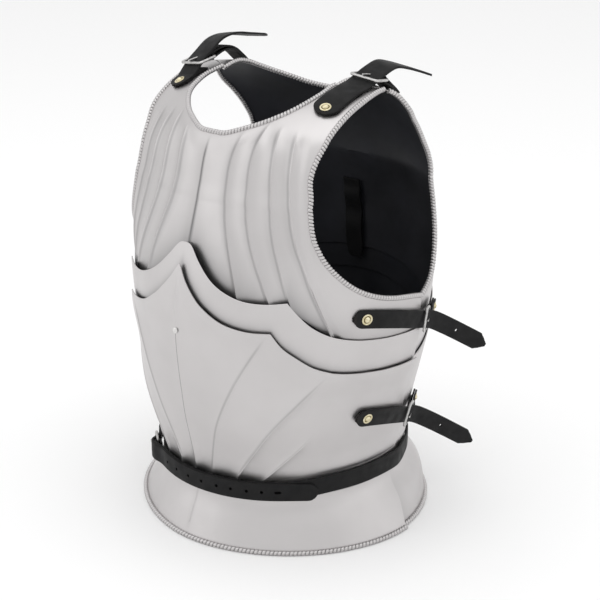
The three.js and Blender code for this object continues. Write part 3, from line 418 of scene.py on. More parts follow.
@dataclass(frozen=True)
class SatinSteel:
    """Satin polished plate: fine scratches, soft clouding, and painted shade beside the laps, along the
    flutes and ridges, above the belt and in the rope cuts.
    """

    name: str = "satin_steel"
    colour: Colour = (0.585, 0.567, 0.566)
    # colour of the painted shade, mixed in by a vertex attribute where laps, flute lines, ridges, the belt
    # and rope cuts would shade the steel
    painted_shade: Colour = (0.05, 0.053, 0.056)
    smooth: float = 0.36
    dull: float = 0.46
    shaded: float = 0.93

    def build(self) -> Material:
        """Make the material."""
        nodes = Nodes(self.name)
        nodes.shader.inputs["Metallic"].default_value = 1
        tone = nodes.clouded(9, 5, (0.3, 0.7), self.colour, tuple(c * self.shaded for c in self.colour))
        nodes.paint(nodes.mixed(nodes.attribute("painted_shade"), tone, self.painted_shade))
        nodes.gloss(30, 6, self.smooth, self.dull)
        nodes.bump([
            (nodes.noise(26, 3), 0.12, 0.0012),
            (nodes.noise(900, 3, (0.06, 0.06, 1)), 0.08, 0.0002),
        ])
        return nodes.material


@dataclass(frozen=True)
class BlackPaint:
    """Black paint on the plates' inside, with soft clouding."""

    name: str = "black_paint"
    colour: Colour = (0.008, 0.0085, 0.0115)
    faded: float = 2.2

    def build(self) -> Material:
        """Make the material."""
        nodes = Nodes(self.name)
        faded = tuple(c * self.faded for c in self.colour)
        nodes.paint(nodes.clouded(14, 5, (0.35, 0.7), self.colour, faded))
        nodes.gloss(22, 4, 0.48, 0.62)
        nodes.bump([(nodes.noise(60, 4), 0.2, 0.0006)])
        return nodes.material


@dataclass(frozen=True)
class StrapLeather:
    """Near black strap leather with a fine grain; cut edges are a little browner."""

    name: str = "strap_leather"
    colour: Colour = (0.0045, 0.0045, 0.005)
    worn: Colour = (0.0065, 0.0062, 0.0062)
    edge: Colour = (0.016, 0.012, 0.01)
    sheen: float = 0.22

    def build(self) -> Material:
        """Make the material."""
        nodes = Nodes(self.name)
        tone = nodes.clouded(45, 6, (0.4, 0.75), self.colour, self.worn)
        nodes.paint(nodes.mixed(nodes.attribute("cut_edge"), tone, self.edge))
        nodes.gloss(80, 4, 0.52, 0.72)
        nodes.shader.inputs["Specular IOR Level"].default_value = self.sheen
        nodes.bump([
            (nodes.noise(60, 3), 0.25, 0.0008),
            (nodes.noise(1300, 4, roughness=0.6), 0.3, 0.0002),
        ])
        return nodes.material


@dataclass(frozen=True)
class FittingMetal:
    """Metal of rivets and buckles, with a little wear."""

    name: str
    colour: Colour
    worn: Colour
    roughness: float = 0.3

    def build(self) -> Material:
        """Make the material."""
        nodes = Nodes(self.name)
        nodes.shader.inputs["Metallic"].default_value = 1
        nodes.paint(nodes.clouded(260, 4, (0.4, 0.65), self.colour, self.worn))
        nodes.gloss(420, 4, self.roughness, self.roughness + 0.15)
        nodes.bump([(nodes.noise(500, 3), 0.15, 0.0002)])
        return nodes.material


@dataclass
class Workshop:
    """Builds meshes with Blender's own tools and dresses them."""

    steel: Material
    paint: Material
    leather: Material
    brass: Material
    wire: Material
    rivet_steel: Material
    body: str = "root"
    made: int = 0
    tube_merge: float = 4e-6

    def clear(self) -> None:
        """Deselect everything."""
        bpy.ops.object.select_all(action="DESELECT")

    def take(self, piece: Piece) -> None:
        """Select one piece and make it the active one."""
        self.clear()
        piece.select_set(True)
        bpy.context.view_layer.objects.active = piece

    def grid(self, name: str, points: Array) -> Piece:
        """A sheet: a grid primitive whose corners are laid on given points.

        Args:
            name: the piece's name.
            points: rows by columns by 3.

        Returns:
            The sheet.
        """
        self.clear()
        rows, columns = points.shape[:2]
        bpy.ops.mesh.primitive_grid_add(x_subdivisions=columns - 1, y_subdivisions=rows - 1, size=2)
        piece = bpy.context.object
        piece.name = name
        mesh = piece.data
        mesh.name = name
        flat = np.empty(len(mesh.vertices) * 3)
        mesh.vertices.foreach_get("co", flat)
        flat = flat.reshape(-1, 3)
        j = np.rint((flat[:, 0] + 1) / 2 * (columns - 1)).astype(int)
        i = np.rint((flat[:, 1] + 1) / 2 * (rows - 1)).astype(int)
        mesh.vertices.foreach_set("co", points[i, j].ravel())
        mesh.update()
        return piece

    def store(self, piece: Piece, name: str, values: Array) -> None:
        """Keep a value for each corner of a sheet, laid out as its rows and columns."""
        rows, columns = values.shape
        layer = piece.data.attributes.new(name, "FLOAT", "POINT")
        count = len(piece.data.vertices)
        order = np.arange(count)
        layer.data.foreach_set("value", values[order // columns, order % columns].ravel())

    def modify(self, piece: Piece, kind: str, **settings: object) -> None:
        """Apply one modifier of a kind, with its settings."""
        self.take(piece)
        modifier = piece.modifiers.new(kind.lower(), kind)
        for name, value in settings.items():
            setattr(modifier, name, value)
        bpy.ops.object.modifier_apply(modifier=modifier.name)

    def solidify(self, piece: Piece, thickness: float, offset: float, inner: int = 0) -> None:
        """Give a sheet its thickness, with a material slot for its inner face."""
        self.modify(piece, "SOLIDIFY", thickness=thickness, offset=offset, material_offset=inner,
                    use_quality_normals=True, use_even_offset=False)

    def bevel(self, piece: Piece, width: float, segments: int, angle: float) -> None:
        """Round the edges of a piece that are sharper than an angle."""
        self.modify(piece, "BEVEL", width=width, segments=segments, limit_method="ANGLE",
                    angle_limit=math.radians(angle))

    @contextmanager
    def edited(self, piece: Piece) -> Iterator[None]:
        """Edit mode with all of one piece selected."""
        self.take(piece)
        bpy.ops.object.mode_set(mode="EDIT")
        bpy.ops.mesh.select_all(action="SELECT")
        yield
        bpy.ops.object.mode_set(mode="OBJECT")

    def outward(self, piece: Piece, nearest: float = 1e-6) -> None:
        """Merge corners nearer than a distance and turn the faces outwards."""
        with self.edited(piece):
            bpy.ops.mesh.remove_doubles(threshold=nearest)
            bpy.ops.mesh.normals_make_consistent(inside=False)

    def smooth(self, piece: Piece, angle: float) -> None:
        """Shade smooth, with creases kept above an angle."""
        self.take(piece)
        bpy.ops.object.shade_smooth_by_angle(angle=math.radians(angle))

    def join(self, main: Piece, others: Iterable[Piece]) -> Piece:
        """Join pieces into the main one."""
        self.take(main)
        for other in others:
            other.select_set(True)
        bpy.ops.object.join()
        return main

    def dress(self, piece: Piece, *materials: Material) -> None:
        """Put materials in a piece's slots."""
        piece.data.materials.clear()
        for material in materials:
            piece.data.materials.append(material)

    def finish(self, piece: Piece, slot: str, *nodes: str) -> None:
        """Hang a finished piece on its body, in place of the CAD nodes, which are hidden."""
        if nodes:
            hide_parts(*nodes)
        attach(piece, self.body)
        self.made += 1
        LOG.info("piece %s: %d faces", piece.name, len(piece.data.polygons))

    def tube(self, name: str, rings: Array, closed: bool,
             painted_shade: Array | None = None) -> Piece:
        """A tube from rings of points.

        Args:
            name: the piece's name.
            rings: rings by points by 3; each ring closes on itself.
            closed: whether the last ring meets the first.
            painted_shade: share of painted shade at each point, for an open tube.

        Returns:
            The tube, with its ends gathered to a point when it is open.
        """
        if not closed:
            middle = rings.mean(1, keepdims=True)
            ends = (slice(0, 1), slice(-1, None))
            first, last = (middle[end] + (rings[end] - middle[end]) * 1e-3 for end in ends)
            rings = np.concatenate([first, rings, last])
        looped = np.concatenate([rings, rings[:, :1]], 1)
        if closed:
            looped = np.concatenate([looped, looped[:1]])
        piece = self.grid(name, looped)
        if painted_shade is not None:
            self.store(piece, "painted_shade", np.pad(painted_shade, ((1, 1), (0, 1)), mode="wrap"))
        self.outward(piece, self.tube_merge)
        return piece


@dataclass
class RopedEdge:
    """A rolled edge with the slanting cuts of a rope, with painted shade in the cuts."""

    radius: float = 0.003
    pitch: float = 0.0037
    cut: float = 0.42
    cut_width: float = 0.12
    # strength of the painted shade in the rope's cuts
    shade: float = 0.45
    sides: int = 12
    step: float = 0.0006

    def build(self, shop: Workshop, name: str, path: Array, outs: Array) -> Piece:
        """Lay the rope along a path.

        Args:
            shop: the workshop.
            name: the piece's name.
            path: points of the edge.
            outs: outward directions at those points.

        Returns:
            The rope.
        """
        lengths = np.concatenate([[0], np.cumsum(np.linalg.norm(np.diff(path, axis=0), axis=1))])
        places = np.linspace(0, lengths[-1], int(lengths[-1] / self.step))
        line, out = (np.stack([np.interp(places, lengths, rows[:, k]) for k in range(3)], 1)
                     for rows in (path, outs))
        along = np.gradient(line, axis=0)
        along /= np.linalg.norm(along, axis=1, keepdims=True)
        out -= along * (out * along).sum(1, keepdims=True)
        out /= np.linalg.norm(out, axis=1, keepdims=True)
        side = np.cross(along, out)
        turn = np.arange(self.sides) / self.sides * 2 * np.pi
        phase = (places[:, None] / self.pitch + turn[None] / (2 * np.pi)) % 1
        groove = np.exp(-((np.minimum(phase, 1 - phase)) / self.cut_width) ** 2)
        reach = self.radius * (1 - self.cut * groove)
        rings = line[:, None] + reach[..., None] * (
            np.cos(turn)[None, :, None] * out[:, None] + np.sin(turn)[None, :, None] * side[:, None])
        # painted shade in the cuts, darker where they are deeper
        return shop.tube(name, rings, False, self.shade * groove)


@dataclass
class Plate:
    """One plate of the armour, as a sheet of places on one half of a face."""

    name: str
    face: Face
    around: Array
    level: Array
    stand: Array
    # share of painted shade at each place
    painted_shade: Array
    gauge: float = 0.0012
    rounding: float = 0.00025

    @staticmethod
    def whole(half: Array) -> Array:
        """Points or directions of both halves, from those of one."""
        return np.concatenate([half[:, :0:-1] * np.array([-1.0, 1.0, 1.0]), half], 1)

    def points(self, offset: float = 0.0) -> Array:
        """Points of the outer face on both halves, moved outwards by an offset."""
        return self.whole(FORM.point(self.face, self.around, self.level, self.stand + offset))

    def outs(self) -> Array:
        """Outward directions at those points."""
        return self.whole(FORM.out(self.face, self.around, self.level, self.stand))

    def build(self, shop: Workshop, ropes: tuple[Piece, ...] = ()) -> None:
        """Make the plate with its roped edges.

        Args:
            shop: the workshop.
            ropes: roped edges to join to it.
        """
        way = slice(None, None, 1 if self.face.sign < 0 else -1)
        piece = shop.grid(self.name, self.points()[:, way])
        painted_shade = np.concatenate([self.painted_shade[:, :0:-1], self.painted_shade], 1)
        shop.store(piece, "painted_shade", painted_shade[:, way])
        shop.dress(piece, shop.steel, shop.paint)
        shop.solidify(piece, self.gauge, -1, inner=1)
        shop.bevel(piece, self.rounding, 1, 70)
        shop.smooth(piece, 14)
        for rope in ropes:
            shop.dress(rope, shop.steel)
            shop.smooth(rope, 60)
        if ropes:
            shop.join(piece, ropes)
        shop.finish(piece, "steel_plate", self.name)


@dataclass
class Stands:
    """How far each layer of plates stands off the form."""

    gauge: float = 0.0012
    gap: float = 0.0004
    side_play: float = 0.0011
    skirt_play: float = 0.0003
    lame_front: float = 0.0054
    placard_front: float = 0.01
    placard_side: float = 0.0056
    step: float = gauge + gap
    lame_side: float = step + gap
    back_placard: float = -(gauge + side_play)
    back_lame: float = back_placard - gauge - side_play
    backplate: float = back_lame - gauge - side_play
    back_lame_centre: float = step + side_play
    back_placard_centre: float = back_lame_centre + step + side_play

    @staticmethod
    def off(side: float, centre: float, around: Array) -> Array:
        """Stand between a side value and a centre value."""
        return side + (centre - side) * np.maximum(0, np.cos(np.radians(around))) ** 2


@dataclass
class Heights:
    """Heights of the plates' edges."""

    lame_peak: float = 0.357
    lame_side: float = 0.255
    placard_peak: float = 0.335
    placard_side: float = 0.213
    back_lame: float = 0.292
    back_lame_side: float = 0.246
    back_placard: float = 0.262
    back_placard_side: float = 0.204
    waist: float = 0.062
    skirt_top: float = 0.088
    tuck: float = 0.02

    def lame(self, rise: Array) -> Array:
        """Height of the front lame's edge at shares of its rise."""
        return self.lame_side + (self.lame_peak - self.lame_side) * rise

    def placard(self, rise: Array) -> Array:
        """Height of the placard's edge at shares of its rise."""
        return self.placard_side + (self.placard_peak - self.placard_side) * rise

    @staticmethod
    def fallen(centre: float, side: float, share: Array) -> Array:
        """Height of a back plate's edge, which falls from the centre to the side."""
        return centre + (side - centre) * share * share * (3 - 2 * share)


@dataclass
class Cuirass:
    """The eight steel plates."""

    shop: Workshop
    stands: Stands = field(default_factory=Stands)
    heights: Heights = field(default_factory=Heights)
    rope: RopedEdge = field(default_factory=RopedEdge)
    hem_rope: RopedEdge = field(default_factory=lambda: RopedEdge(pitch=0.0045))
    rope_inset: float = 0.0004
    flute: float = 0.0034
    flute_spread: float = 0.0066
    flute_top: float = 1.43
    flute_margin: float = 0.01
    flute_fade: float = 0.1
    flat_rim: tuple[float, float] = (0.004, 0.02)
    settle: tuple[float, float] = (0.85, 1.15)
    # painted shade lines beside each flute crest: weight, offset and width of each line
    flute_lines: Rows = ((1, 0.0026, 0.0017), (0.35, 0.006, 0.005))
    # strength of the painted shade along the flute and fan lines
    groove: float = 0.32
    fan: float = 0.0027
    fan_spread: float = 0.0082
    # offset and width of the painted shade line beside each fan crest
    fan_line: tuple[float, float] = (0.0022, 0.0014)
    fan_fade: float = 0.03
    # strength of the painted shade line along the centre ridge
    ridge_painted_shade: float = 0.72
    ridge_rivet: float = 0.262
    # reaches of the painted shade above the edge of a plate that laps over from outside: on the breastplate,
    # and on each lame
    breast_reach: float = 0.017
    lap_reach: float = 0.006
    # height where the painted belt shadow starts
    belt_top: float = 0.08
    swell: float = 0.7
    # strength of the painted shade along the front skirt's centre crease
    skirt_crease_shade: float = 0.14
    skirt_crease_width: float = 0.006
    skirt_ridge: float = 0.0014
    # strength of the painted shadow that the front skirt's side edge casts on the back skirt
    skirt_shade: float = 0.3
    row_fall: float = 0.8
    rim_dip: float = 0.5
    joint_trim: float = 0.0026 / (0.117 * math.pi * 0.5)
    across: int = 10
    low_rows: int = 34
    middle_rows: int = 56
    shoulder_rows: int = 60

    def front_edge(self, share: Array) -> Array:
        """Top edge of the front lame."""
        return self.heights.lame(np.interp(share, *np.array(LAME_EDGE).T))

    def back_edge(self, share: Array) -> Array:
        """Top edge of the back lame."""
        return self.heights.fallen(self.heights.back_lame, self.heights.back_lame_side, share)

    def column_angles(self, face: Face, level: Array) -> Array:
        """Degrees round of an upper plate's columns, up to the last flute.

        Args:
            face: front or back.
            level: levels, rows by fine columns.

        Returns:
            Degrees of the same shape.
        """
        angles = refined(np.array(face.angles, float), self.across)
        if face.sign > 0:
            return np.broadcast_to(angles, level.shape).copy()
        table = np.array(FLUTES)
        coarse = np.empty((len(table), len(face.angles)))
        coarse[:, ::2] = table[:, 1:]
        coarse[:, 1::2] = (coarse[:, :-1:2] + coarse[:, 2::2]) / 2
        fine = refined(coarse.T, self.across).T
        columns = [smooth_value(np.column_stack([table[:, 0], fine[:, k]]), 1, level[:, k])
                   for k in range(fine.shape[1])]
        return np.stack(columns, 1)

    def upper_places(self, face: Face) -> tuple[Array, Array]:
        """Fine places of an upper plate: from under the lame, past the arm opening, over the shoulder.

        Args:
            face: front or back.

        Returns:
            Degrees round and levels, rows by columns.
        """
        angles = refined(np.array(face.angles, float), self.across)
        last = len(angles) - 1
        share = np.arange(1, face.rim_columns * self.across + 1) / (face.rim_columns * self.across)
        table = np.array(face.rows)
        place = np.linspace(0, len(table) - 1, self.middle_rows)
        centre, rim = (np.interp(place, np.arange(len(table)), table[:, k]) for k in (0, 1))
        rim_around = smooth_value(face.arm_rim, 1, rim)
        fall = (angles[None] / rim_around[:, None]) ** self.row_fall
        inner = centre[:, None] + (rim - centre)[:, None] * fall
        start = inner[:, -1:]
        level = np.concatenate([inner, start + (rim[:, None] - start) * share[None] ** self.rim_dip], 1)
        around = self.with_rim(face, level, rim_around, last, share)
        part = around[:1] / around[0, -1]
        edge = self.front_edge if face.sign < 0 else self.back_edge
        low_level = (edge(part) - self.heights.tuck) / FORM.chest_height
        rise = (np.arange(self.low_rows) / self.low_rows)[:, None]
        low = low_level + (level[:1] - low_level) * rise
        low_around = self.with_rim(face, low, FORM.edge(face, low[:, -1]), last, share)
        neck = refined(np.array(face.neck), self.across)
        trim = np.where((face.sign > 0) & (np.arange(len(neck)) >= last), self.joint_trim, 0)
        up = (np.arange(1, self.shoulder_rows + 1) / self.shoulder_rows)[:, None]
        high = level[-1:] + (neck[None, :, 1] - trim - level[-1:]) * up
        straight = self.with_rim(face, high, smooth_value(face.arm_rim, 1, high[:, -1]), last, share)
        top = np.concatenate([neck[:-1, 0], straight[-1, -1:]])
        high_around = straight + (top - straight[-1])[None] * up ** 2
        return np.concatenate([low_around, around, high_around]), np.concatenate([low, level, high])

    def with_rim(self, face: Face, level: Array, rim_around: Array, last: int,
                 share: Array) -> Array:
        """Degrees round of all columns.

        Args:
            face: front or back.
            level: levels, rows by columns.
            rim_around: degrees of the rim, one for each row.
            last: the column of the last flute.
            share: shares from there to the rim.

        Returns:
            Degrees of the levels' shape.
        """
        inner = self.column_angles(face, level[:, :last + 1])
        start = inner[:, -1:]
        return np.concatenate([inner, start + (rim_around[:, None] - start) * share[None]], 1)

    def upper(self, name: str, face: Face) -> None:
        """Breastplate or backplate, with roped edges at the neck and the arms."""
        around, level = self.upper_places(face)
        side = 0 if face.sign < 0 else self.stands.backplate
        stand = Stands.off(side, 0, around) * (1 - smooth_step(level, *self.settle))
        painted_shade = np.zeros_like(around)
        if face.sign < 0:
            stand, painted_shade = self.fluted(around, level, stand)
        plate = Plate(name, face, around, level, stand, painted_shade)
        points, outs = plate.points(-self.rope_inset), plate.outs()
        middle, tab = around.shape[1] - 1, face.tab_column * self.across
        neck, arm = slice(middle - tab, middle + tab + 1), slice(self.low_rows, None)
        runs = (("neck", (-1, neck)), ("left", (arm, -1)), ("right", (arm, 0)))
        plate.build(self.shop, tuple(
            self.rope.build(self.shop, f"{name}_{label}_rope", points[run], outs[run])
            for label, run in runs))

    @staticmethod
    def faded(above: Array, reach: Array | float, power: float) -> Array:
        """How the painted shade fades with the height above an edge."""
        return np.exp(-(np.maximum(0, above) / reach) ** power)

    def away(self, around: Array, column: int) -> Array:
        """Distance round the form from one of the coarse columns."""
        return np.radians(around - around[:, column * self.across][:, None]) * FORM.half_width

    def fluted(self, around: Array, level: Array,
               stand: Array) -> tuple[Array, Array]:
        """Flutes of the breastplate, with painted shade along their lines, on the centre ridge and beside the
        lame.

        Args:
            around: degrees round.
            level: levels.
            stand: stands of the plain plate.

        Returns:
            The fluted stands and the painted shade.
        """
        last = len(FORM.front.angles) - 1
        near, groove = np.zeros_like(around), np.zeros_like(around)
        for crest in range(0, last + 1, 2):
            away = self.away(around, crest)
            near += np.exp(-np.abs(away) / self.flute_spread)
            if crest:
                groove += sum(part * np.exp(-((away + offset) / width) ** 2)
                              for part, offset, width in self.flute_lines)
        top = np.minimum(level[-1:] - self.flute_margin, self.flute_top)
        fade = 1 - smooth_step(level - top, -self.flute_fade, 0)
        flat = smooth_step(self.away(around, last), *self.flat_rim)
        share = np.clip(around / FORM.edge(FORM.front, level), 0, 1)
        above = level * FORM.chest_height - self.front_edge(share)
        # painted shade: above the lame's raised edge, beside the flute crests and along the centre ridge
        painted_shade = smooth_value(LAP_PAINTED_SHADE, 1, share) * self.faded(above, self.breast_reach, 1.1)
        painted_shade = np.maximum(painted_shade, self.groove * groove * fade * (1 - flat))
        painted_shade[:, 0] = np.maximum(painted_shade[:, 0], self.ridge_painted_shade * fade[:, 0])
        return stand - self.flute * (1 - near) * fade * (1 - flat), painted_shade

    def lame(self, name: str, face: Face, share: Array, cover: Array, top: Array, rows: int,
             strength: Array | float, power: float) -> None:
        """A narrow lame between two plates.

        Args:
            name: the node's name.
            face: front or back.
            share: shares of the way round.
            cover: height of the edge that laps over it, at those shares.
            top: height of its own edge.
            rows: rows of its sheet.
            strength: of the painted shade beside the lap.
            power: how suddenly the painted shade ends.
        """
        up = np.linspace(0, 1, rows)[:, None]
        height = (cover - self.heights.tuck)[None] * (1 - up) + top[None] * up
        level = height / FORM.chest_height
        around = share[None] * FORM.edge(face, level)
        stands = self.stands
        if face.sign < 0:
            stand = Stands.off(stands.lame_side, stands.lame_front, around)
        else:
            stand = Stands.off(stands.back_lame, stands.back_lame_centre, around)
        # painted shade on the lame just above the edge of the plate that laps over it
        painted_shade = strength * self.faded(height - cover[None], self.lap_reach, power)
        Plate(name, face, around, level, stand, painted_shade).build(self.shop)

    def breast_lame(self) -> None:
        """The narrow lame between breastplate and placard."""
        share, rise = refined(np.array(LAME_EDGE), self.across, LAME_CUSPS).T
        placard = refined(np.array(PLACARD), self.across, PLACARD_CUSPS)
        cover = self.heights.placard(np.interp(share, placard[:, 0], placard[:, 1]))
        self.lame("breast_lame", FORM.front, share, cover, self.heights.lame(rise), 28,
                  smooth_value(LAP_PAINTED_SHADE, 1, share)[None], 1.2)

    def back_lame(self) -> None:
        """The lame between backplate and back placard."""
        share = np.linspace(0, 1, 100)
        cover = self.heights.fallen(self.heights.back_placard, self.heights.back_placard_side, share)
        self.lame("back_lame", FORM.back, share, cover, self.back_edge(share), 24, 0.6, 1.3)

    def placard(self) -> None:
        """The lower breastplate with its fan of flutes."""
        share, rise, waist, bend = refined(np.array(PLACARD), self.across, PLACARD_CUSPS).T
        h, stands = self.heights, self.stands
        top = h.placard(rise)
        up = np.linspace(0, 1, 110)[:, None]
        height = h.waist + (top[None] - h.waist) * up
        level = height / FORM.chest_height
        around = (waist[None] + (share - waist)[None] * up ** bend[None]) * FORM.edge(FORM.front, level)
        full = Stands.off(stands.placard_side, stands.placard_front, around)
        stand = stands.step + (full - stands.step) * smooth_step(up, 0, self.swell)
        near, groove = np.zeros_like(around), np.zeros_like(around)
        offset, width = self.fan_line
        for column, strength, fades in FAN_CRESTS:
            away = self.away(around, int(column))
            lasting = strength * (1 - smooth_step(height, fades - self.fan_fade, fades))
            near += lasting * np.exp(-np.abs(away) / self.fan_spread)
            if column:
                groove += lasting * np.exp(-((away + offset) / width) ** 2)
        fade = smooth_step(height, h.waist, h.waist + 0.02) * smooth_step(top[None] - height, 0, 0.03)
        # painted shadow of the belt on the placard above it, painted shade beside the fan crests and along
        # the centre ridge below the rivet
        belt, reach = (np.interp(around, *np.array(table).T) for table in (BELT_PAINTED_SHADOW, BELT_PAINTED_SHADOW_REACH))
        painted_shade = belt * self.faded(height - self.belt_top, reach, 1.4)
        painted_shade = np.maximum(painted_shade, self.groove * groove * fade)
        ridge = self.ridge_painted_shade * smooth_step(self.ridge_rivet - height[:, 0], 0, 0.004)
        painted_shade[:, 0] = np.maximum(painted_shade[:, 0], ridge)
        stand = stand - self.fan * (1 - near) * fade
        Plate("placard", FORM.front, around, level, stand, painted_shade).build(self.shop)

    def back_placard(self) -> None:
        """The lower backplate."""
        share = np.linspace(0, 1, 110)
        h, low = self.heights, self.stands.back_placard
        top = h.fallen(h.back_placard, h.back_placard_side, share)
        up = np.linspace(0, 1, 60)[:, None]
        level = (h.waist + (top[None] - h.waist) * up) / FORM.chest_height
        around = share[None] * FORM.edge(FORM.back, level)
        full = Stands.off(low, self.stands.back_placard_centre, around)
        stand = low + (full - low) * smooth_step(up, 0, self.swell)
        Plate("back_placard", FORM.back, around, level, stand, np.zeros_like(around)).build(self.shop)

    def skirt(self, name: str, face: Face, stand: float) -> None:
        """A flared skirt with a roped hem."""
        share = np.linspace(0, 1, 110)
        height = np.linspace(0, self.heights.skirt_top, 40)[:, None]
        level = height / FORM.chest_height + 0 * share[None]
        around = share[None] * FORM.edge(face, level)
        if face.sign < 0:
            crease = np.exp(-np.radians(around) * FORM.half_width / self.skirt_crease_width)
            ridge = crease * smooth_step(height, 0.004, 0.02)
            # painted shade along the front skirt's centre crease
            painted_shade = self.skirt_crease_shade * (ridge > 0.9)
        else:
            ridge = np.zeros_like(around)
            # painted shadow of the front skirt's side edge on the back skirt
            painted_shade = ridge + self.skirt_shade * smooth_step(share, 0.8, 0.97)[None]
        plate = Plate(name, face, around, level, stand + self.skirt_ridge * ridge, painted_shade)
        points, outs = plate.points(-self.rope_inset), plate.outs()
        lift = np.array([0, 0, self.hem_rope.radius * 0.98])
        rope = self.hem_rope.build(self.shop, f"{name}_hem_rope", points[0] + lift, outs[0])
        plate.build(self.shop, (rope,))

    def build(self) -> None:
        """Make all the plates."""
        self.upper("breastplate", FORM.front)
        self.upper("backplate", FORM.back)
        self.breast_lame()
        self.placard()
        self.skirt("front_skirt", FORM.front, -self.stands.skirt_play)
        self.back_lame()
        self.back_placard()
        self.skirt("back_skirt", FORM.back, self.stands.back_lame)


@dataclass
class Station:
    """A place on a strap: a point of its inner face, its directions and its half width."""

    point: Vector
    across: Vector
    out: Vector
    half: float = 0.0

    def lifted(self, lift: float) -> "Station":
        """The station moved along its outward direction."""
        return Station(self.point + self.out * lift, self.across, self.out, self.half)

    def mirrored(self, side: Side) -> "Station":
        """The same station on one of the wearer's sides."""
        flip = Vector((side.value, 1, 1))
        return Station(self.point * flip, self.across * flip, self.out * flip, self.half)


@dataclass
class OpenPath:
    """A smooth path in the open, read by the share of its length."""

    points: list[Vector]

    def __post_init__(self) -> None:
        """Lay the fine line."""
        fine = refined(np.array([tuple(p) for p in self.points]), 24)
        self.line = fine
        self.lengths = np.concatenate([[0], np.cumsum(np.linalg.norm(np.diff(fine, axis=0), axis=1))])

    def at(self, share: float) -> Vector:
        """The point at a share of the length."""
        place = share * self.lengths[-1]
        return Vector([float(np.interp(place, self.lengths, self.line[:, k])) for k in range(3)])

    def tangent(self, share: float) -> Vector:
        """The direction of the path there."""
        return (self.at(min(1, share + 0.01)) - self.at(max(0, share - 0.01))).normalized()

    def station(self, start: Station, share: float, half: float) -> Station:
        """A strap's station there, turned as little as may be from its start."""
        tangent = self.tangent(share)
        across = (start.across - tangent * start.across.dot(tangent)).normalized()
        hand = start.across.cross(self.tangent(0)).dot(start.out)
        out = (across.cross(tangent) * math.copysign(1, hand)).normalized()
        return Station(self.at(share), across, out, half)


def seat(face: Face, around: float, level: float, stand: float) -> tuple[Vector, Vector, Vector, Vector]:
    """A seat on the form.

    Args:
        face: the half that the degrees count from.
        around: degrees round.
        level: level of the form.
        stand: distance outside the form.

    Returns:
        Its point, and the directions out, round and up.
    """
    point = FORM.point(face, around, level, stand)
    across, up = (Vector(way) for way in FORM.ways(face, around, level, stand))
    across.normalize()
    up = (up - across * up.dot(across)).normalized()
    out = (across.cross(up) * (1 if face.sign < 0 else -1)).normalized()
    return Vector(point), out, across, up


def pointed(width: float, share: float, point_share: float = 0.13, blunt: float = 0.12) -> float:
    """Half width of a strap's free end: straight, then cut to a point."""
    return width / 2 * min(1, blunt + (1 - share) / point_share)


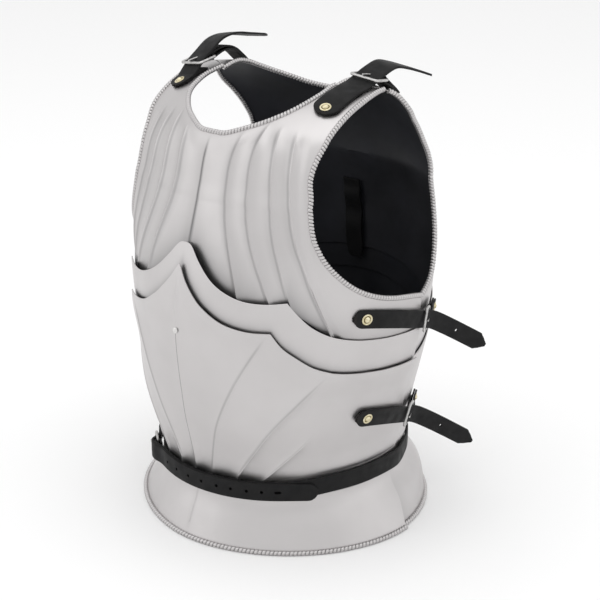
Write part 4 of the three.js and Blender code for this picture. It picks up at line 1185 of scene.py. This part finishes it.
@dataclass
class Leather:
    """Makes straps, folded ends, rivets and buckles."""

    shop: Workshop
    thickness: float = 0.0024
    folded: float = 0.002
    wire: float = 0.0016
    corner: float = 0.004
    gap: float = 0.00035
    fit: float = 0.0003
    fold_play: float = 0.0006
    across: int = 8
    rivet_radius: float = 0.0064
    dome_height: float = 0.0028
    dome_share: float = 0.56
    bare_dome_share: float = 0.95
    washer_middle: float = 0.82
    washer_share: float = 0.18
    washer_flat: float = 0.75
    crown: float = 0.0002
    rounding: float = 0.0004
    hole_radius: float = 0.0019
    rim_area: float = 4e-7
    rim_brown: float = 0.35

    def strap(self, name: str, stations: list[Station], thickness: float, centred: bool = False,
              finer: int = 5, holes: dict[int, float] | None = None) -> None:
        """A strap through its stations.

        Args:
            name: the node's name.
            stations: places along it.
            thickness: of the leather.
            centred: whether the stations run along its middle.
            finer: steps between two stations.
            holes: stations that have a punched hole, each with how long it is against its width.
        """
        parts = [np.array([tuple(getattr(s, key)) for s in stations]) for key in ("point", "across", "out")]
        half = np.array([s.half for s in stations])
        point, across, out = (refined(part, finer) for part in parts)
        width = np.interp(np.arange(len(point)) / finer, np.arange(len(half)), half)
        out /= np.linalg.norm(out, axis=1, keepdims=True)
        side = np.linspace(-1, 1, self.across + 1)
        crown = self.crown * (1 - side ** 2)
        sheet = point[:, None] + across[:, None] * (side[None, :, None] * width[:, None, None]) \
            + out[:, None] * crown[None, :, None]
        flip = np.dot(np.cross(across[0], point[1] - point[0]), out[0]) < 0
        piece = self.shop.grid(name, sheet[:, ::-1] if flip else sheet)
        if piece.data.polygons[0].normal.dot(Vector(out[0])) < 0:
            with self.shop.edited(piece):
                bpy.ops.mesh.flip_normals()
        self.shop.dress(piece, self.shop.leather)
        self.shop.solidify(piece, thickness, 0 if centred else 1)
        self.mark_cut_edge(piece)
        if holes:
            self.punch(piece, [(stations[k], stretch) for k, stretch in holes.items()], thickness)
        self.shop.bevel(piece, self.rounding, 2, 60)
        self.shop.smooth(piece, 40)
        self.shop.finish(piece, "leather", name)

    def mark_cut_edge(self, piece: Piece) -> None:
        """Leave a browner value along the cut rim of a strap."""
        mesh = piece.data
        use = np.zeros(len(mesh.vertices))
        for polygon in mesh.polygons:
            if polygon.area < self.rim_area:
                use[list(polygon.vertices)] = self.rim_brown
        layer = mesh.attributes.new("cut_edge", "FLOAT", "POINT")
        layer.data.foreach_set("value", use)

    def punch(self, piece: Piece, places: list[tuple[Station, float]], thickness: float) -> None:
        """Punch holes through a strap, each stretched along it."""
        cutters = []
        for place, stretch in places:
            self.shop.clear()
            bpy.ops.mesh.primitive_cylinder_add(vertices=20, radius=self.hole_radius, depth=thickness * 3)
            cutter = bpy.context.object
            along = place.across.cross(place.out).normalized()
            turn = Matrix((along * stretch, place.across, place.out)).transposed().to_4x4()
            cutter.data.transform(Matrix.Translation(place.point + place.out * thickness / 2) @ turn)
            self.shop.outward(cutter)
            cutters.append(cutter)
        tool = self.shop.join(cutters[0], cutters[1:])
        self.shop.modify(piece, "BOOLEAN", operation="DIFFERENCE", solver="EXACT", object=tool)
        bpy.data.objects.remove(tool)

    def rivet(self, name: str, place: Station, brass: bool, scale: float = 1.0, washer: bool = True) -> None:
        """A domed rivet, on a washer.

        Args:
            name: the node's name.
            place: its seat.
            brass: whether it is of brass, and not of steel.
            scale: size against the brass rivets.
            washer: whether a washer lies under it.
        """
        r, h = self.rivet_radius * scale, self.dome_height * scale
        dome_radius = r * (self.dome_share if washer else self.bare_dome_share)
        self.shop.clear()
        bpy.ops.mesh.primitive_uv_sphere_add(segments=32, ring_count=20, radius=dome_radius)
        dome = bpy.context.object
        dome.data.transform(Matrix.Diagonal((1, 1, h / dome_radius, 1)))
        with self.shop.edited(dome):
            bpy.ops.mesh.bisect(plane_co=(0, 0, 0), plane_no=(0, 0, 1), clear_inner=True, use_fill=True)
        parts = []
        if washer:
            self.shop.clear()
            bpy.ops.mesh.primitive_torus_add(
                major_radius=r * self.washer_middle, minor_radius=r * self.washer_share, major_segments=40,
                minor_segments=12)
            ring = bpy.context.object
            ring.data.transform(Matrix.Diagonal((1, 1, self.washer_flat, 1)))
            parts.append(ring)
        piece = self.shop.join(dome, parts)
        piece.name = name
        turn = place.out.to_track_quat("Z", "Y").to_matrix().to_4x4()
        piece.data.transform(Matrix.Translation(place.point) @ turn)
        self.shop.dress(piece, self.shop.brass if brass else self.shop.rivet_steel)
        self.shop.smooth(piece, 40)
        self.shop.finish(piece, "brass" if brass else "steel_rivet", name)

    def buckle(self, name: str, first: Station, second: Station, strap_half: float,
               prong_over: float) -> None:
        """A rectangular wire buckle with rounded corners, and its prong.

        Args:
            name: the node's name.
            first: the bar that the strap runs under.
            second: the bar that the folded end holds.
            strap_half: half the strap's width.
            prong_over: how far the prong lies above the plane of the frame.
        """
        middle = (first.point + second.point) / 2
        along = second.point - first.point
        half_along = along.length / 2
        along.normalize()
        across = (first.across - along * first.across.dot(along)).normalized()
        normal = along.cross(across)
        if normal.dot(first.out) < 0:
            normal = -normal
        half_across = strap_half + self.wire + 3 * self.fit
        outline: list[tuple[Vector, Vector]] = []
        for sign_across, sign_along in ((1, 1), (-1, 1), (-1, -1), (1, -1)):
            steps = range(7) if sign_across * sign_along > 0 else range(6, -1, -1)
            centre = middle + across * (sign_across * (half_across - self.corner)) \
                + along * (sign_along * (half_along - self.corner))
            for step in steps:
                turn = math.pi / 2 * step / 6
                direction = across * (sign_across * math.cos(turn)) + along * (sign_along * math.sin(turn))
                outline.append((centre + direction * self.corner, direction))
        turns = np.arange(14) / 14 * 2 * np.pi
        rings = np.array([[tuple(p + d * (self.wire * math.cos(t)) + normal * (self.wire * math.sin(t)))
                           for t in turns] for p, d in outline])
        ring = self.shop.tube(name, rings, True)
        lift = normal * (self.wire * 1.5 + prong_over)
        start = second.point + normal * self.wire * 0.4
        end = first.point - along * self.wire * 1.4 + lift
        line = [start, start + (end - start) * 0.3 + normal * prong_over * 0.4, start + (end - start) * 0.7
                + normal * prong_over * 0.3, end]
        path = OpenPath(line)
        prong_rings = []
        for share in np.linspace(0, 1, 24):
            tangent = path.tangent(float(share))
            up = across.cross(tangent).normalized()
            size = self.wire * (0.8 - 0.25 * float(share))
            prong_rings.append([
                tuple(path.at(float(share)) + across * (size * math.cos(t)) + up * (size * math.sin(t)))
                for t in turns])
        prong = self.shop.tube(f"{name}_prong", np.array(prong_rings), False)
        piece = self.shop.join(ring, [prong])
        self.shop.dress(piece, self.shop.wire)
        self.shop.smooth(piece, 60)
        self.shop.finish(piece, "buckle_wire", name)

    def chape(self, name: str, bar: Station, spine: list[Station], half: float) -> None:
        """A folded strap end: along its outer layer to the bar, round it and back underneath.

        Args:
            name: the node's name.
            bar: the buckle's bar.
            spine: places between the two layers, from the bar to the far end.
            half: half its width.
        """
        fold = self.wire + self.fold_play + self.folded / 2
        layer = (self.folded + self.fit) / 2
        away = spine[0].point - bar.point
        away = (away - bar.across * away.dot(bar.across)).normalized()
        out = bar.across.cross(away).normalized()
        if out.dot(bar.out) < 0:
            out = -out
        layers = [(place, (fold + layer) / 2 if k == 0 else layer) for k, place in enumerate(spine)]
        places = [Station(s.point + s.out * offset, bar.across, s.out, half)
                  for s, offset in reversed(layers)]
        places[0].half = half * 0.62
        places.insert(1, Station(places[0].point.lerp(places[1].point, 0.2), bar.across, places[0].out, half))
        for k in range(5):
            turn = math.pi * k / 4
            normal = out * math.cos(turn) - away * math.sin(turn)
            places.append(Station(bar.point + normal * fold, bar.across, normal, half))
        places += [Station(s.point - s.out * offset, bar.across, -s.out, half) for s, offset in layers]
        self.strap(name, places, self.folded, centred=True, finer=4)


@dataclass
class StrapDesign:
    """What one fastened strap needs: seats, the path of its free end, its bars and the folded end's spine."""

    width: float
    seats: list[Station]
    rivet_seat: Station
    path: list[Vector]
    bar_share: float
    front_bar: Station | float
    spine: list[Station]


@dataclass
class Straps:
    """The side straps, the shoulder straps, the belt and the strip inside."""

    leather: Leather
    stands: Stands = field(default_factory=Stands)
    side_width: float = 0.021
    shoulder_width: float = 0.03
    belt_width: float = 0.021
    belt_height: float = 0.072
    chape_length: float = 0.034
    side_rise: float = 0.0009
    end_corner: float = 0.0125
    end_reach: float = 4.7
    free_steps: tuple[float, ...] = (0.07, 0.15, 0.25, 0.4, 0.55, 0.7, 0.8, 0.865, 0.875, 0.93, 1)
    chape_steps: tuple[float, ...] = (0.14, 0.42, 0.72, 1)
    chape_rise: float = 0.0015
    side_bar: float = 0.16
    side_free: Rows = ((0.16, 0.02, 0.05), (0.34, 0.09, 0.15), (0.56, 0.2, 0.29), (0.8, 0.34, 0.45))
    upper_dip: float = 0.0005
    shoulder_around: float = 33
    shoulder_rivet: float = 1.6
    shoulder_reach: float = 0.1
    left_path: Rows = ((-0.08, 0.04), (0.11, 0.11), (0.24, 0.16), (0.44, 0.135), (0.64, 0.08), (0.89, 0),
                       (1.12, -0.08))
    right_path: Rows = (
        (-0.46, 0.06), (-0.29, 0.17), (-0.16, 0.25), (0.04, 0.285), (0.34, 0.245), (0.72, 0.18),
    )
    left_chape: Rows = ((0.12, 0.06), (0.2, 0.015), (0.32, -0.07), (0.42, -0.16))
    right_chape: Rows = ((-0.19, 0.15), (-0.1, 0.15), (0.08, 0.12), (0.22, 0.013), (0.34, -0.1))
    belt_stand: float = 0.0045
    belt_back_drop: float = 0.0042
    belt_buckle: float = -34
    belt_tip: float = 56
    belt_buckle_length: float = 0.021
    belt_holes: tuple[float, ...] = (-18.6, -10.6, -2.6, 5, 12.8, 19.4, 26.4, 32.8)
    belt_slit: float = 39.5
    belt_point: Rows = ((0, 1), (0.4, 0.93), (0.72, 0.72), (0.92, 0.42), (1, 0.2))
    belt_point_span: float = 4
    belt_rise: float = 0.0052
    belt_droop: float = 0.0022
    strip_around: float = -4.5
    strip_heights: tuple[float, float] = (0.257, 0.361)
    strip_rivet: float = 0.335
    ridge_rivet: float = 0.26

    def end_steps(self, length: float, width: float) -> list[tuple[float, float]]:
        """Places along a seated strap whose end is rounded.

        Args:
            length: of the seated part.
            width: of the strap.

        Returns:
            Shares of the length, each with half the width there.
        """
        corner, half = min(self.end_corner, 0.46 * width), width / 2
        steps = []
        for turn in range(0, 91, 10):
            angle = math.radians(turn)
            steps.append((corner * (1 - math.cos(angle)) / length, half - corner + corner * math.sin(angle)))
        near = [corner * step / length for step in (1.15, 1.4, 1.8, 2.4, 3.2)]
        return steps + [(share, half) for share in (*near, 0.5, 0.62, 0.74, 0.87, 1)]

    @property
    def spine_lift(self) -> float:
        """From a plate to the middle of a folded end that lies on it."""
        return self.leather.gap + self.leather.folded + 2.5 * self.leather.fit

    def fastened(self, label: str, side: Side, design: StrapDesign) -> None:
        """One fastened strap with its rivet, buckle and folded end.

        Args:
            label: start of the nodes' names.
            side: the wearer's side.
            design: the strap's seats, path, bars and spine.
        """
        work = self.leather
        last = design.seats[-1]
        path = OpenPath([last.point, *design.path])
        free = [path.station(last, share, pointed(design.width, share)) for share in self.free_steps]
        rear = path.station(last, design.bar_share, design.width / 2)
        near = design.front_bar if isinstance(design.front_bar, Station) else path.station(
            last, design.front_bar, design.width / 2)
        every = [station.mirrored(side) for station in [*design.seats, *free]]
        count = len(design.seats)
        work.strap(f"{label}_strap", every, work.thickness, holes={count + 4: 1})
        rivet_seat = design.rivet_seat.lifted(work.thickness + 0.0001)
        work.rivet(f"{label}_strap_rivet", rivet_seat.mirrored(side), True)
        over = work.thickness + 2 * work.fold_play + work.wire
        under = work.gap + work.folded + 2 * work.fold_play + work.wire
        first = near.lifted(over).mirrored(side)
        second = rear.lifted(-under).mirrored(side)
        along = (second.point - first.point).normalized()
        second.across = (first.across - along * first.across.dot(along)).normalized()
        work.buckle(f"{label}_buckle", first, second, design.width / 2, 0.001)
        spine = [station.mirrored(side) for station in design.spine]
        work.chape(f"{label}_chape", second, spine, design.width / 2 - work.corner)
        work.rivet(f"{label}_chape_rivet", spine[-2].lifted(work.folded + 0.0003), True, 0.8)

    def side(self, name: str, rivet_around: float, height: float, droop: float, chape_around: float,
             free_length: float) -> None:
        """A pair of side straps.

        Args:
            name: upper or lower.
            rivet_around: degrees round of the rivet.
            height: of the rivet.
            droop: fall of the strap on its way to the side.
            chape_around: degrees round, on the back, where the folded end starts.
            free_length: of the strap past the side edge.
        """
        stands, upper = self.stands, name == "upper"
        front_stand = stands.lame_side if upper else stands.placard_side
        start_stand = -self.upper_dip if upper else stands.placard_side
        low, centre = (stands.back_lame, stands.back_lame_centre) if upper else (
            stands.back_placard, stands.back_placard_centre)
        end_around = float(FORM.edge(FORM.front, height / FORM.chest_height)) + 1
        start = rivet_around - self.end_reach

        def seat_at(around: float, half: float) -> Station:
            """A seat of the strap."""
            share = min(1, max(0, (around - start) / (end_around - start)))
            level = (height - droop * share ** 1.4) / FORM.chest_height
            stand = start_stand + (front_stand + self.side_rise - start_stand) * share + self.leather.gap
            point, out, _, up = seat(FORM.front, around, level, stand)
            return Station(point, up, out, half)

        length = math.radians(end_around - start) * FORM.half_width
        seats = [seat_at(start + (end_around - start) * reach, half)
                 for reach, half in self.end_steps(length, self.side_width)]
        end = seats[-1]
        _, _, ahead_way, _ = seat(FORM.front, end_around, (height - droop) / FORM.chest_height, 0)
        path = [end.point + ahead_way * (free_length * ahead) + end.out * (free_length * aside)
                + Vector((0, 0, -free_length * drop)) for ahead, aside, drop in self.side_free]
        level = (height - droop) / FORM.chest_height
        spine = []
        for reach in self.chape_steps:
            around = chape_around - math.degrees(self.chape_length * reach / FORM.half_width)
            stand = float(Stands.off(low, centre, around)) + self.spine_lift + (1 - reach) * self.chape_rise
            point, out, _, up = seat(FORM.back, around, level, stand)
            spine.append(Station(point, up, out))
        for side in Side:
            self.fastened(f"{name}_side_{side.name.lower()}", side, StrapDesign(
                self.side_width, seats, seat_at(rivet_around, 0), path, self.side_bar,
                seat_at(end_around - 1, self.side_width / 2), spine))

    def shoulder(self, side: Side, seat_end: float, rows: Rows, chape_rows: Rows) -> None:
        """A shoulder strap.

        Args:
            side: the wearer's side.
            seat_end: level where the strap leaves the tab.
            rows: path of its free end, past the ridge and above it.
            chape_rows: the same for the folded end.
        """
        ridge = Vector(FORM.point(FORM.front, self.shoulder_around, 2, 0))

        def seat_at(level: float, half: float) -> Station:
            """A seat of the strap on the shoulder tab."""
            point, out, across, _ = seat(FORM.front, self.shoulder_around, level, 0.0012 + self.leather.gap)
            return Station(point, across, out, half)

        def on_ridge(past: float, rise: float) -> Vector:
            """A point past the shoulder ridge and above it."""
            return ridge + Vector((0, past, rise)) * self.shoulder_reach

        start = self.shoulder_rivet - 0.045
        length = (seat_at(start, 0).point - seat_at(seat_end, 0).point).length
        seats = [seat_at(start + (seat_end - start) * reach, half)
                 for reach, half in self.end_steps(length, self.shoulder_width)]
        chape = OpenPath([on_ridge(*row) for row in chape_rows])
        spine = [chape.station(seats[-1], share, 0) for share in self.chape_steps]
        self.fastened(f"shoulder_{side.name.lower()}", side, StrapDesign(
            self.shoulder_width, seats, seat_at(self.shoulder_rivet, 0), [on_ridge(*row) for row in rows],
            0.25, 0.1, spine))

    def belt_seat(self, around: float, stand: float, lift: float = 0.0) -> Station:
        """A seat of the belt, above or below its usual height by a lift."""
        point, out, _, _ = seat(FORM.front, around, (self.belt_height + lift) / FORM.chest_height, stand)
        out.z = 0
        return Station(point, Vector((0, 0, 1)), out.normalized(), self.belt_width / 2)

    def belt(self) -> None:
        """The belt: folded round its bar, once round the waist, through the buckle and over its start."""
        work = self.leather
        fold = work.wire + work.fold_play
        bar_stand = self.belt_stand + work.thickness + fold
        bar = self.belt_seat(self.belt_buckle, bar_stand)
        bar.half = self.belt_width / 2 - 0.0012
        way = bar.across.cross(bar.out)
        places = [Station(bar.point - bar.out * fold + way * flap, bar.across, -bar.out, bar.half)
                  for flap in (0.008, 0.0027)]
        for k in range(5):
            turn = math.pi * (1 - k / 4)
            out = bar.out * math.cos(turn) - way * math.sin(turn)
            places.append(Station(bar.point + out * fold, bar.across, out, bar.half))
        length = self.belt_tip + 360 - self.belt_buckle
        rows = [*BELT_START, *((15 + 7.5 * k, 0, 0.0) for k in range(45)), *BELT_OVER]
        first_hole = len(places) + len(rows)
        point_start = length - self.belt_point_span
        tongue = [around + 360 - self.belt_buckle for around in (*self.belt_holes, self.belt_slit)]
        rows += [(past, 1, 0.0) for past in (*tongue, point_start - 6)]
        rows += [(point_start + self.belt_point_span * share, 1, 0.0) for share, _ in self.belt_point]
        halves = {len(rows) - len(self.belt_point) + k: row[1] for k, row in enumerate(self.belt_point)}
        for k, (past, layer, rise) in enumerate(rows):
            around = self.belt_buckle + past
            wrapped = around % 360 - 360 if around % 360 > 180 else around % 360
            behind = float(smooth_step(abs(wrapped), 100, 115))
            stand = self.belt_stand + layer * (work.thickness + work.gap) \
                + rise * (bar_stand + fold - self.belt_stand) - behind * self.belt_back_drop
            over_hip = float(smooth_step(wrapped, 40, 68) * (1 - smooth_step(wrapped, 84, 120)))
            tongue_fall = self.belt_droop * float(smooth_step(wrapped, 42, 57))
            lift = -tongue_fall if layer else self.belt_rise * over_hip
            place = self.belt_seat(around, stand, lift)
            place.half = self.belt_width / 2 * halves.get(k, 1)
            places.append(place)
        holes = {first_hole + k: 1.0 for k in range(len(self.belt_holes))}
        holes[first_hole + len(self.belt_holes)] = 2.2
        work.strap("belt_strap", places, work.thickness, finer=4, holes=holes)
        near_around = self.belt_buckle - math.degrees(self.belt_buckle_length / FORM.front_depth)
        near = self.belt_seat(near_around, self.belt_stand + work.thickness + 3 * work.fit + work.wire)
        work.buckle("belt_buckle", near, bar, self.belt_width / 2, 0.004)

    def strip(self) -> None:
        """The strip of leather inside the backplate, with its rivet."""
        work = self.leather
        low, high = self.strip_heights
        places = []
        for share, bulge, half in STRIP:
            level = (low + (high - low) * share) / FORM.chest_height
            point, out, across, _ = seat(FORM.back, self.strip_around, level, -0.0023 - bulge)
            places.append(Station(point, across, -out, half))
        work.strap("inner_strip", places, work.folded)
        level = self.strip_rivet / FORM.chest_height
        point, out, across, _ = seat(FORM.back, self.strip_around, level, -0.003)
        work.rivet("inner_strip_rivet", Station(point, across, -out).lifted(work.folded), False, 0.75)

    def build(self) -> None:
        """Make all the straps."""
        self.side("upper", 68.3, 0.283, 0.0225, 74.5, 0.108)
        self.side("lower", 75, 0.157, 0.0235, 69, 0.128)
        self.shoulder(Side.LEFT, 1.88, self.left_path, self.left_chape)
        self.shoulder(Side.RIGHT, 1.66, self.right_path, self.right_chape)
        self.belt()
        self.strip()
        level = self.ridge_rivet / FORM.chest_height
        point, out, across, _ = seat(FORM.front, 0, level, self.stands.placard_front - 0.0002)
        self.leather.rivet("ridge_rivet", Station(point, across, out), False, 0.6, washer=False)


@dataclass
class Studio:
    """Pale floor, soft lights and the camera at the photograph's angle."""

    azimuth: float = 41
    elevation: float = 20.5
    distance: float = 1.725
    target: Triple = (-0.0393, 0.0719, 0.2143)
    lens: float = 82.8
    floor_colour: Colour = (0.93, 0.93, 0.93)
    room_light: float = 0.94

    def build(self) -> None:
        """Set up the studio."""
        self.camera()
        self.floor()
        self.world()
        self.light("right", (2.7, 1.4, 1.5), 3.4, 9)
        self.light("above", (0.2, -0.6, 3.2), 3.4, 24)
        self.light("left", (-1.9, -2.7, 1.7), 2.8, 11)

    def camera(self) -> None:
        """Place the camera."""
        a, e = math.radians(self.azimuth), math.radians(self.elevation)
        back = Vector((math.sin(a) * math.cos(e), -math.cos(a) * math.cos(e), math.sin(e)))
        data = bpy.data.cameras.new("photo_camera")
        data.lens = self.lens
        data.sensor_width = 36
        data.clip_start = 0.05
        camera = bpy.data.objects.new("photo_camera", data)
        bpy.context.scene.collection.objects.link(camera)
        camera.location = Vector(self.target) + Vector(FORM_SHIFT) + back * self.distance
        camera.rotation_mode = "QUATERNION"
        camera.rotation_quaternion = (-back).to_track_quat("-Z", "Y")
        bpy.context.scene.camera = camera

    def floor(self) -> None:
        """Lay the floor."""
        bpy.ops.object.select_all(action="DESELECT")
        bpy.ops.mesh.primitive_circle_add(vertices=96, radius=7, fill_type="NGON")
        floor = bpy.context.object
        floor.name = "floor"
        material = bpy.data.materials.new("pale_floor")
        material.use_nodes = True
        shader = material.node_tree.nodes["Principled BSDF"]
        shader.inputs["Base Color"].default_value = (*self.floor_colour, 1)
        shader.inputs["Roughness"].default_value = 0.9
        floor.data.materials.append(material)

    def world(self) -> None:
        """Light the room evenly."""
        world = bpy.data.worlds.new("soft_room")
        world.use_nodes = True
        background = world.node_tree.nodes["Background"]
        background.inputs["Color"].default_value = (1, 1, 1, 1)
        background.inputs["Strength"].default_value = self.room_light
        bpy.context.scene.world = world
        bpy.context.scene.view_settings.view_transform = "Standard"

    def light(self, name: str, place: Triple, size: float, power: float) -> None:
        """A soft square light that faces the object.

        Args:
            name: of the light.
            place: where it hangs.
            size: of its side.
            power: in watts.
        """
        data = bpy.data.lights.new(name, "AREA")
        data.size = size
        data.energy = power
        lamp = bpy.data.objects.new(name, data)
        bpy.context.scene.collection.objects.link(lamp)
        lamp.location = place
        lamp.rotation_mode = "QUATERNION"
        lamp.rotation_quaternion = (Vector((0, 0, 0.27)) - Vector(place)).to_track_quat("-Z", "Y")


def main() -> None:
    """Build the object and the studio in order."""
    global FORM_SHIFT
    logging.basicConfig(level=logging.INFO, format="%(name)s: %(message)s")
    hem_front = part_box("front_skirt")[0].y
    own_front = float(FORM.point(FORM.front, 0, 0, -0.0003 + 0.0012)[1])
    FORM_SHIFT = np.array([0, hem_front - own_front, 0])
    LOG.info("form shifted by %.5f m", FORM_SHIFT[1])
    Studio().build()
    shop = Workshop(
        steel=SatinSteel().build(),
        paint=BlackPaint().build(),
        leather=StrapLeather().build(),
        brass=FittingMetal("brass_rivet", (0.62, 0.55, 0.35), (0.8, 0.74, 0.55)).build(),
        wire=FittingMetal("buckle_wire", (0.42, 0.415, 0.41), (0.6, 0.59, 0.58)).build(),
        rivet_steel=FittingMetal("rivet_steel", (0.72, 0.71, 0.7), (0.55, 0.54, 0.53)).build(),
    )
    Cuirass(shop).build()
    Straps(Leather(shop)).build()
    LOG.info("%d pieces made", shop.made)


if __name__ == "__main__":
    main()
